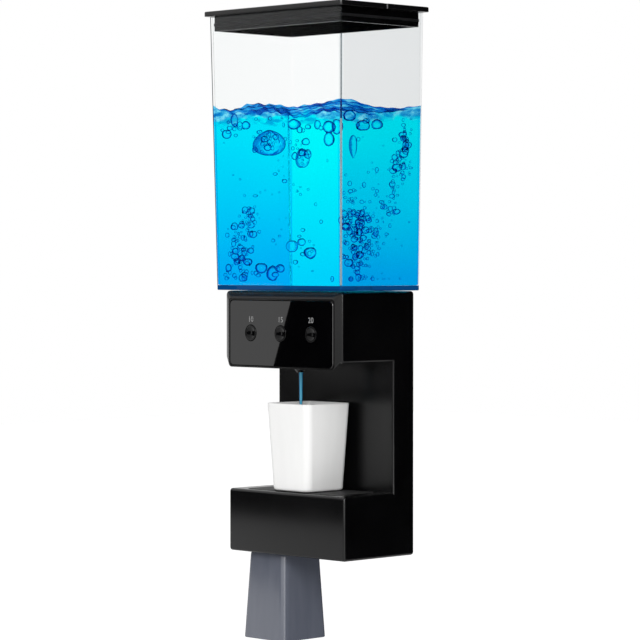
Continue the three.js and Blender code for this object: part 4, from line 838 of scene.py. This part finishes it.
def bubble_swarm(name, centres, radii, seed, around=8, rows=6):
    """Many bubbles in one mesh.

    Each is a sphere of around by rows faces, its radius changed by a few sines of its two angles
    with phases of its own, then stretched to its three radii and moved to its centre.
    """
    phases = np.random.default_rng(seed).uniform(0, 2 * math.pi, (len(centres), 1, 1, 3))
    turn = np.arange(around)[None, None, :] * 2 * math.pi / around
    tilt = np.linspace(0.02, math.pi - 0.02, rows + 1)[None, ::-1, None]
    squeeze = 1 + 0.16 * np.sin(2 * turn + phases[..., 0]) * np.sin(tilt)
    squeeze = squeeze + 0.12 * np.sin(3 * turn + phases[..., 1]) * np.sin(tilt) ** 2
    squeeze = squeeze + 0.1 * np.sin(2 * tilt + phases[..., 2])
    unit = [np.sin(tilt) * np.cos(turn), np.sin(tilt) * np.sin(turn), np.cos(tilt) + 0 * turn]
    points = np.stack(np.broadcast_arrays(*unit), axis=-1) * squeeze[..., None]
    points = points * radii[:, None, None, :] + centres[:, None, None, :]
    index = np.arange((rows + 1) * around).reshape(rows + 1, around)
    starts = np.arange(len(centres))[:, None] * index.size
    quads = (quads_between(index[:-1], index[1:])[None] + starts[..., None]).reshape(-1, 4)
    caps = [*(starts + index[0][::-1]).tolist(), *(starts + index[-1]).tolist()]
    mesh = mesh_of(name, points.reshape(-1, 3).tolist(), quads.tolist() + caps, AIR)
    shade(mesh, 80)
    return place_piece(bpy.data.objects.new(name, mesh), "tank_body", "clear_plastic")


def clump(seed, count, wall, across, height, spread, sizes):
    """Centres and radii of a clump behind the front or the right wall.

    Places are normal scatter round a middle, cut at two spreads; both come in millimetres. Radii
    fall between the two sizes with small ones commoner, as the cube of an even draw. Each bubble
    just clears the wall.
    """
    draw = np.random.default_rng(seed)
    offsets = np.clip(draw.normal(0, 1, (count, 2)), -2, 2) * (np.array(spread) * MM)
    along = across * MM + offsets[:, 0]
    z = np.clip(height * MM + offsets[:, 1], BUBBLES_LOW, BUBBLES_HIGH)
    radius = sizes[0] + (sizes[1] - sizes[0]) * draw.uniform(0, 1, count) ** 3
    radii = radius[:, None] * draw.uniform(0.75, 1.25, (count, 3))
    deep = np.max(radii, axis=1) * 1.45 + draw.uniform(0.3, 2.0, count) * MM
    half_width, half_depth, middle = tank_half(z, LIQUID_INSET)
    if wall == "front":
        reach = half_width - CORNER_CLEARANCE
        along = np.clip(along, -reach, reach)
        return np.stack([along, middle - half_depth + deep, z], axis=1), radii
    reach = half_depth - CORNER_CLEARANCE
    along = np.clip(along, middle - reach, middle + reach)
    return np.stack([half_width - deep, along, z], axis=1), radii


SMALL = (0.6 * MM, 2.0 * MM)
TINY = (0.4 * MM, 1.3 * MM)
BROAD = (1.0 * MM, 3.4 * MM)
CLUMPS = [
    (42, "front", -24, 98, (4, 6), SMALL),
    (64, "front", -31, 82, (5, 7), SMALL),
    (40, "right", -51, 101, (3, 9), SMALL),
    (84, "right", -42, 92, (6, 7), SMALL),
    (40, "right", -44, 77, (5, 7), SMALL),
    (44, "right", -14, 124, (4, 6), SMALL),
    (20, "right", -20, 107, (4, 7), SMALL),
    (16, "front", -16, 70, (14, 2), BROAD),
    (60, "front", 3, 106, (22, 22), TINY),
    (60, "right", -30, 100, (13, 22), TINY),
    (14, "front", -36, 146, (6, 3), BROAD),
    (8, "right", -38, 142, (12, 4), BROAD),
    (10, "front", 9, 143, (12, 3), BROAD),
    (7, "front", 14, 84, (3, 4), BROAD),
    (34, "front", -11, 137, (5, 2.5), SMALL),
    (16, "front", 14, 132, (3, 4), SMALL),
    (30, "right", -38, 84, (5, 5), SMALL),
    (24, "right", -12, 138, (2, 5), SMALL),
]
clumps = [clump(seed, *row) for seed, row in enumerate(CLUMPS, start=1)]
bubble_swarm("bubbles", *(np.concatenate(parts) for parts in zip(*clumps)), seed=11)
large_places = np.array([(-11, -54, 136.5), (15, -56, 128), (40.5, -46, 133), (8, -56, 84)]) * MM
large_radii = np.array([(12, 2.6, 6.4), (4.5, 1.6, 4.5), (1.4, 3, 5.5), (4, 1.5, 2.6)]) * MM
bubble_swarm("large_bubbles", large_places, large_radii, seed=5, around=40, rows=20)


# ---- lid and its seal
# The flat lid is polished black ABS with a thin skirt that drops into the tank, and a notch in each
# side edge for a fingertip. A black rubber ring in the skirt's groove keeps the air out.
def polished_black_abs():
    # Polished black ABS: deep gloss with hairline wiping scratches along its length.
    material, place = start_material("polished_black_abs")
    along = add_node(material, "Mapping", {"Vector": place, "Scale": (0.05, 1.0, 1.0)})
    hairs = add_node(material, "TexNoise", {"Vector": along, "Scale": 1 / (0.6 * MM), "Detail": 5.0})
    look = mottled(material, hairs, "080809", "0d0d0e", 0.14, 0.24)
    return finish_material(material, look | {"IOR": 1.5}, (hairs, 0.002 * MM))


lid_low, lid_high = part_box("lid")
PLATE = 2.5 * MM
SKIRT_WALL = 1.6 * MM
SKIRT_INSET = 3.9 * MM
SKIRT_CORNER = 1.2 * MM
SKIRT_INNER_CORNER = 0.8 * MM
PLATE_CORNER = 2.2 * MM
NOTCH = 1.6 * MM
plate_foot = lid_high.z - PLATE
lid_middle = (lid_low.y + lid_high.y) / 2
plate_half = (lid_high.x, (lid_high.y - lid_low.y) / 2)
skirt_half = (plate_half[0] - SKIRT_INSET, plate_half[1] - SKIRT_INSET)


def lid_row(half, shrink, radius, z):
    return (half[0] - shrink, half[1] - shrink, radius, 0.0, lid_middle, z)


lid_path = rounded_path(
    [
        lid_row(skirt_half, SKIRT_WALL + 4 * MM, SKIRT_INNER_CORNER, plate_foot),
        lid_row(skirt_half, SKIRT_WALL, SKIRT_INNER_CORNER, plate_foot),
        lid_row(skirt_half, SKIRT_WALL, SKIRT_INNER_CORNER, lid_low.z),
        lid_row(skirt_half, 0, SKIRT_CORNER, lid_low.z),
        lid_row(skirt_half, 0, SKIRT_CORNER, plate_foot),
        lid_row(plate_half, 0, PLATE_CORNER, plate_foot),
        lid_row(plate_half, 0, PLATE_CORNER, lid_high.z),
        lid_row(plate_half, 5 * MM, PLATE_CORNER, lid_high.z),
    ],
    np.array([0.4, 0.3, 0.3, 0.3, 0.35, 0.6]) * MM,
)
GLOSS_ABS = polished_black_abs()
lid = skin("tank_lid", carried_rings(lid_path), GLOSS_ABS)
notch_profile = [(plate_foot - MM, NOTCH), (lid_high.z + MM, NOTCH)]
notch_centres = [Vector((side * (plate_half[0] + 0.4 * MM), lid_middle, 0)) for side in (-1, 1)]
notches = [turned("notch", notch_profile, place, GLOSS_ABS, "Z", 32) for place in notch_centres]
work_solid(lid, *(("DIFFERENCE", notch) for notch in notches))
place_piece(lid, "lid_body", "black_abs", "lid")
dress(BLACK_RUBBER, "lid_seal")


# ---- shelf mat and cups
# Two square cups, one moulded in white polypropylene and one in smoke grey. Each has a steel disc in
# its foot: one stands on the shelf's rubber mat, the other hangs mouth down from a magnet.
def moulded_polypropylene(name, light, dark, roughness, shine):
    # Moulded polypropylene: a soft sheen and faint upright flow lines.
    material, place = start_material(name)
    along = add_node(material, "Mapping", {"Vector": place, "Scale": (1.0, 1.0, 0.15)})
    flow = add_node(material, "TexNoise", {"Vector": along, "Scale": 1 / (5 * MM), "Detail": 3.0})
    look = mottled(material, flow, dark, light, roughness - 0.04, roughness + 0.05)
    grain = add_node(material, "TexNoise", {"Vector": place, "Scale": 1 / (0.4 * MM)})
    look |= {"IOR": 1.49, "Specular IOR Level": shine}
    return finish_material(material, look, (grain, 0.003 * MM))


CUP_RIM = 15.75 * MM
CUP_FOOT = 13.5 * MM
CUP_HEIGHT = 44.2 * MM
CUP_WALL = 1.6 * MM
CUP_FLOOR = 3.2 * MM
CUP_CORNER = 4 * MM


def cup(name, node, body, slot, material, foot, way):
    """A square tapered cup carried on level rings from under its foot, over the rim, to its floor.

    way is 1 for a cup that stands and -1 for one that hangs; a hanging cup is turned over about X.
    """
    low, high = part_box(node)
    middle = (low + high) / 2

    def row(half, radius, rise):
        return (half, half, radius, middle.x, middle.y, foot + rise)

    path = rounded_path(
        [
            row(CUP_FOOT - 4 * MM, CUP_CORNER - MM, 0),
            row(CUP_FOOT, CUP_CORNER, 0),
            row(CUP_RIM, CUP_CORNER, CUP_HEIGHT),
            row(CUP_RIM - CUP_WALL, CUP_CORNER - CUP_WALL, CUP_HEIGHT),
            row(CUP_FOOT - CUP_WALL, CUP_CORNER - CUP_WALL, CUP_FLOOR),
            row(CUP_FOOT - CUP_WALL - 4 * MM, CUP_CORNER - CUP_WALL, CUP_FLOOR),
        ],
        np.array([1.6, 0.7, 0.7, 1.5]) * MM,
        7,
    )
    rings = carried_rings(path)
    if way < 0:
        rings[..., 1] = 2 * middle.y - rings[..., 1]
        rings[..., 2] = 2 * foot - rings[..., 2]
    return place_piece(skin(name, rings, material), body, slot, node)


white_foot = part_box("cup_white")[0].z
grey_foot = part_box("cup_grey")[1].z
WHITE_CUP = moulded_polypropylene("white_polypropylene", "f4f4f3", "f1f1f0", 0.32, 0.3)
SMOKE_CUP = moulded_polypropylene("smoke_polypropylene", "5f636f", "595d69", 0.14, 1.0)
cup("white_cup", "cup_white", "cup_white_body", "white_plastic", WHITE_CUP, white_foot, 1)
cup("grey_cup", "cup_grey", "cup_grey_body", "smoke_plastic", SMOKE_CUP, grey_foot, -1)
dress(BLACK_RUBBER, "cup_mat")
dress(ZINC_STEEL, "cup_white_disc", "cup_grey_disc")


# ---- stream of mouthwash
# The first of a dose, on its way from the nozzle into the white cup: a thin blue thread that narrows
# as it falls, to a rounded end.
def falling_mouthwash():
    # A thread of dyed water: bright blue with a pale core of light down its middle.
    material, place = start_material("falling_mouthwash")
    facing = add_node(material, "LayerWeight", {"Blend": 0.5}, output="Facing")
    beads = add_node(material, "TexNoise", {"Vector": place, "Scale": 1 / (4 * MM)})
    mixed = add_node(material, "Math", {0: beads, 1: 0.3, 2: facing}, operation="MULTIPLY_ADD")
    tint = add_node(
        material, "ValToRGB", {"Fac": mixed}, stops=[(0.2, "58acca"), (0.5, "1e7cae"), (0.9, "0a4880")]
    )
    return finish_material(material, {"Base Color": tint, "Roughness": 0.08, "IOR": 1.33})


STREAM_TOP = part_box("nozzle")[0].z + 0.6 * MM
STREAM_END = -7 * MM
STREAM_PLACE = Vector((0, -42.4 * MM, 0))
THREAD = 1.05 * MM
DROP_LENGTH = 1.4 * MM
# The thread's radius falls with the fourth root of the drop, as a falling jet's does, and its end is
# rounded like a half ellipse.
drop = np.linspace(0, 1, 22)
heights = STREAM_TOP + (STREAM_END - STREAM_TOP) * drop
thread = np.stack([heights, THREAD * (1 + 4 * drop) ** -0.25], axis=1)
bend = np.linspace(0, math.pi / 2 * 0.96, 7)[1:]
tip = np.stack([thread[-1, 0] - DROP_LENGTH * np.sin(bend), thread[-1, 1] * np.cos(bend)], axis=1)
stream_profile = np.concatenate([thread, tip])[::-1]
stream = turned(
    "stream", stream_profile, STREAM_PLACE, falling_mouthwash(), axis="Z", sides=20, angle=80
)
place_piece(stream, "housing_body", "clear_plastic")
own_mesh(stream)


# ---- studio
# A white room with a pale floor and one soft lamp to the right of the front. Cards that only
# reflections show stand round it: two for the glass panel, a dark one between two pale ones for the
# front, a black one for the right side, and a bright one before the camera for the edges.
def flat_piece(name, corners, material):
    """A four-cornered piece in one plane."""
    mesh = mesh_of(name, [tuple(corner) for corner in corners], [(0, 1, 2, 3)], material)
    made = bpy.data.objects.new(name, mesh)
    SCENE_OBJECTS.link(made)
    return made


def card(name, corners, colour, strength=1.0):
    """A flat card that only reflections show, glowing evenly."""
    material = start_material(name)[0]
    glow = add_node(material, "Emission", {"Color": linear(colour), "Strength": strength})
    add_node(material, "OutputMaterial", {"Surface": glow})
    made = flat_piece(name, corners, material)
    for kind in ("camera", "diffuse", "shadow", "transmission", "volume_scatter"):
        setattr(made, f"visible_{kind}", False)


AZIMUTH = math.radians(45.5)
ELEVATION = math.radians(1.25)
DISTANCE = 1418.75 * MM
TARGET = Vector((14.31, -42.93, 47.03)) * MM
sine, cosine = math.sin(AZIMUTH), math.cos(AZIMUTH)
level = math.cos(ELEVATION)
back = Vector((sine * level, -cosine * level, math.sin(ELEVATION)))
camera_data = bpy.data.cameras.new("camera")
camera_data.lens = 158.96
camera_data.sensor_width = 36.0
camera_data.clip_start = 0.05
camera = bpy.data.objects.new("camera", camera_data)
camera.location = TARGET + back * DISTANCE
camera.rotation_euler = back.to_track_quat("Z", "Y").to_euler()
SCENE_OBJECTS.link(camera)
bpy.context.scene.camera = camera
bpy.context.scene.view_settings.view_transform = "Standard"


PANEL_CARD = 160 * MM


def mirrored(x, z):
    """The point that the camera sees in the glass panel at x and z, in millimetres.

    It lies on the mirrored line of sight, the panel cards' distance from the panel.
    """
    point = Vector((x * MM, BEZEL_FACE, z * MM))
    eye = Vector((camera.location.x, 2 * BEZEL_FACE - camera.location.y, camera.location.z))
    return point + (point - eye).normalized() * PANEL_CARD


# Each edge of the two cards is seen in the panel as a line from its foot to its top.
left, slant, right = (
    (mirrored(foot, 19), mirrored(top, 62)) for foot, top in ((-46, -46), (-7.0, 9.4), (60, 60))
)
card("bright_card", [left[0], slant[0], slant[1], left[1]], "ffffff", 1.15)
card("dark_card", [slant[0], right[0], right[1], slant[1]], "050505")
# A front face mirrors what lies ahead, a right side what lies behind, and an edge the camera.
ahead = Vector((-sine, -cosine, 0))
across = Vector((cosine, -sine, 0))
behind = Vector((sine, cosine, 0))
toward = Vector((sine, -cosine, 0))
sideways = Vector((cosine, sine, 0))
up = Vector((0, 0, 1))
CORNERS = ((-1, -1), (1, -1), (1, 1), (-1, 1))


def upright_card(name, middle, width, height, colour):
    """An upright card, parallel to across; width and height are halves, in metres."""
    corners = [middle + width * a * across + height * b * up for a, b in CORNERS]
    card(name, corners, colour)


AHEAD_REACH = 0.9
AHEAD_WIDTH = 0.8
BEHIND_REACH = 0.6
EDGE_REACH = 1.3
EDGE_RISE = 0.6
upright_card("low_card", ahead * AHEAD_REACH - 0.56 * up, AHEAD_WIDTH, 0.45, "f0f0f0")
upright_card("dim_card", ahead * AHEAD_REACH + 0.045 * up, AHEAD_WIDTH, 0.155, "080808")
upright_card("high_card", ahead * AHEAD_REACH + 0.335 * up, AHEAD_WIDTH, 0.135, "e8e8e8")
upright_card("black_card", behind * BEHIND_REACH, 1.6, 1.2, "020202")
edge_feet = [toward * EDGE_REACH + sideways * side - EDGE_RISE * up for side in (-0.1, 0.1)]
edge_tops = [foot + 2 * EDGE_RISE * up for foot in reversed(edge_feet)]
card("edge_card", edge_feet + edge_tops, "ffffff", 2.8)

FLOOR_HEIGHT = cad_box[0].z - 330 * MM
FLOOR_HALF = 6.0
floor_material, floor_place = start_material("pale_floor")
mottle = add_node(floor_material, "TexNoise", {"Vector": floor_place, "Scale": 4.0})
floor_tone = add_node(
    floor_material, "ValToRGB", {"Fac": mottle}, stops=[(0.3, "f0f0f0"), (0.7, "f4f4f4")]
)
seen = add_node(floor_material, "LightPath", output="Is Camera Ray")
lift = add_node(floor_material, "Math", {0: seen, 1: 0.5}, operation="MULTIPLY")
glow = {"Emission Color": (1, 1, 1, 1), "Emission Strength": lift}
finish_material(floor_material, {"Base Color": floor_tone, "Roughness": 0.7} | glow)
floor_corners = [(x * FLOOR_HALF, y * FLOOR_HALF, FLOOR_HEIGHT) for x, y in CORNERS]
floor = flat_piece("floor", floor_corners, floor_material)

lamp_data = bpy.data.lights.new("soft_lamp", "AREA")
lamp_data.shape = "DISK"
lamp_data.size = 0.9
lamp_data.energy = 16.5
lamp = bpy.data.objects.new("soft_lamp", lamp_data)
lamp.location = (1.02, -1.26, 0.72)
lamp.rotation_euler = (lamp.location - Vector((0, 0, 0.03))).to_track_quat("Z", "Y").to_euler()
SCENE_OBJECTS.link(lamp)

world = bpy.data.worlds.new("white_room")
bpy.context.scene.world = world
world.use_nodes = True
world.node_tree.nodes.clear()
straight, mirror, bent = (
    add_node(world, "LightPath", output=f"Is {name} Ray")
    for name in ("Camera", "Glossy", "Transmission")
)
either = add_node(world, "Math", {0: straight, 1: mirror}, operation="MAXIMUM")
shown = add_node(world, "Math", {0: either, 1: bent}, operation="MAXIMUM")
strength = add_node(world, "MapRange", {"Value": shown, "To Min": 0.6, "To Max": 1.0})
room = add_node(world, "Background", {"Color": (1, 1, 1, 1), "Strength": strength})
add_node(world, "OutputWorld", {"Surface": room})
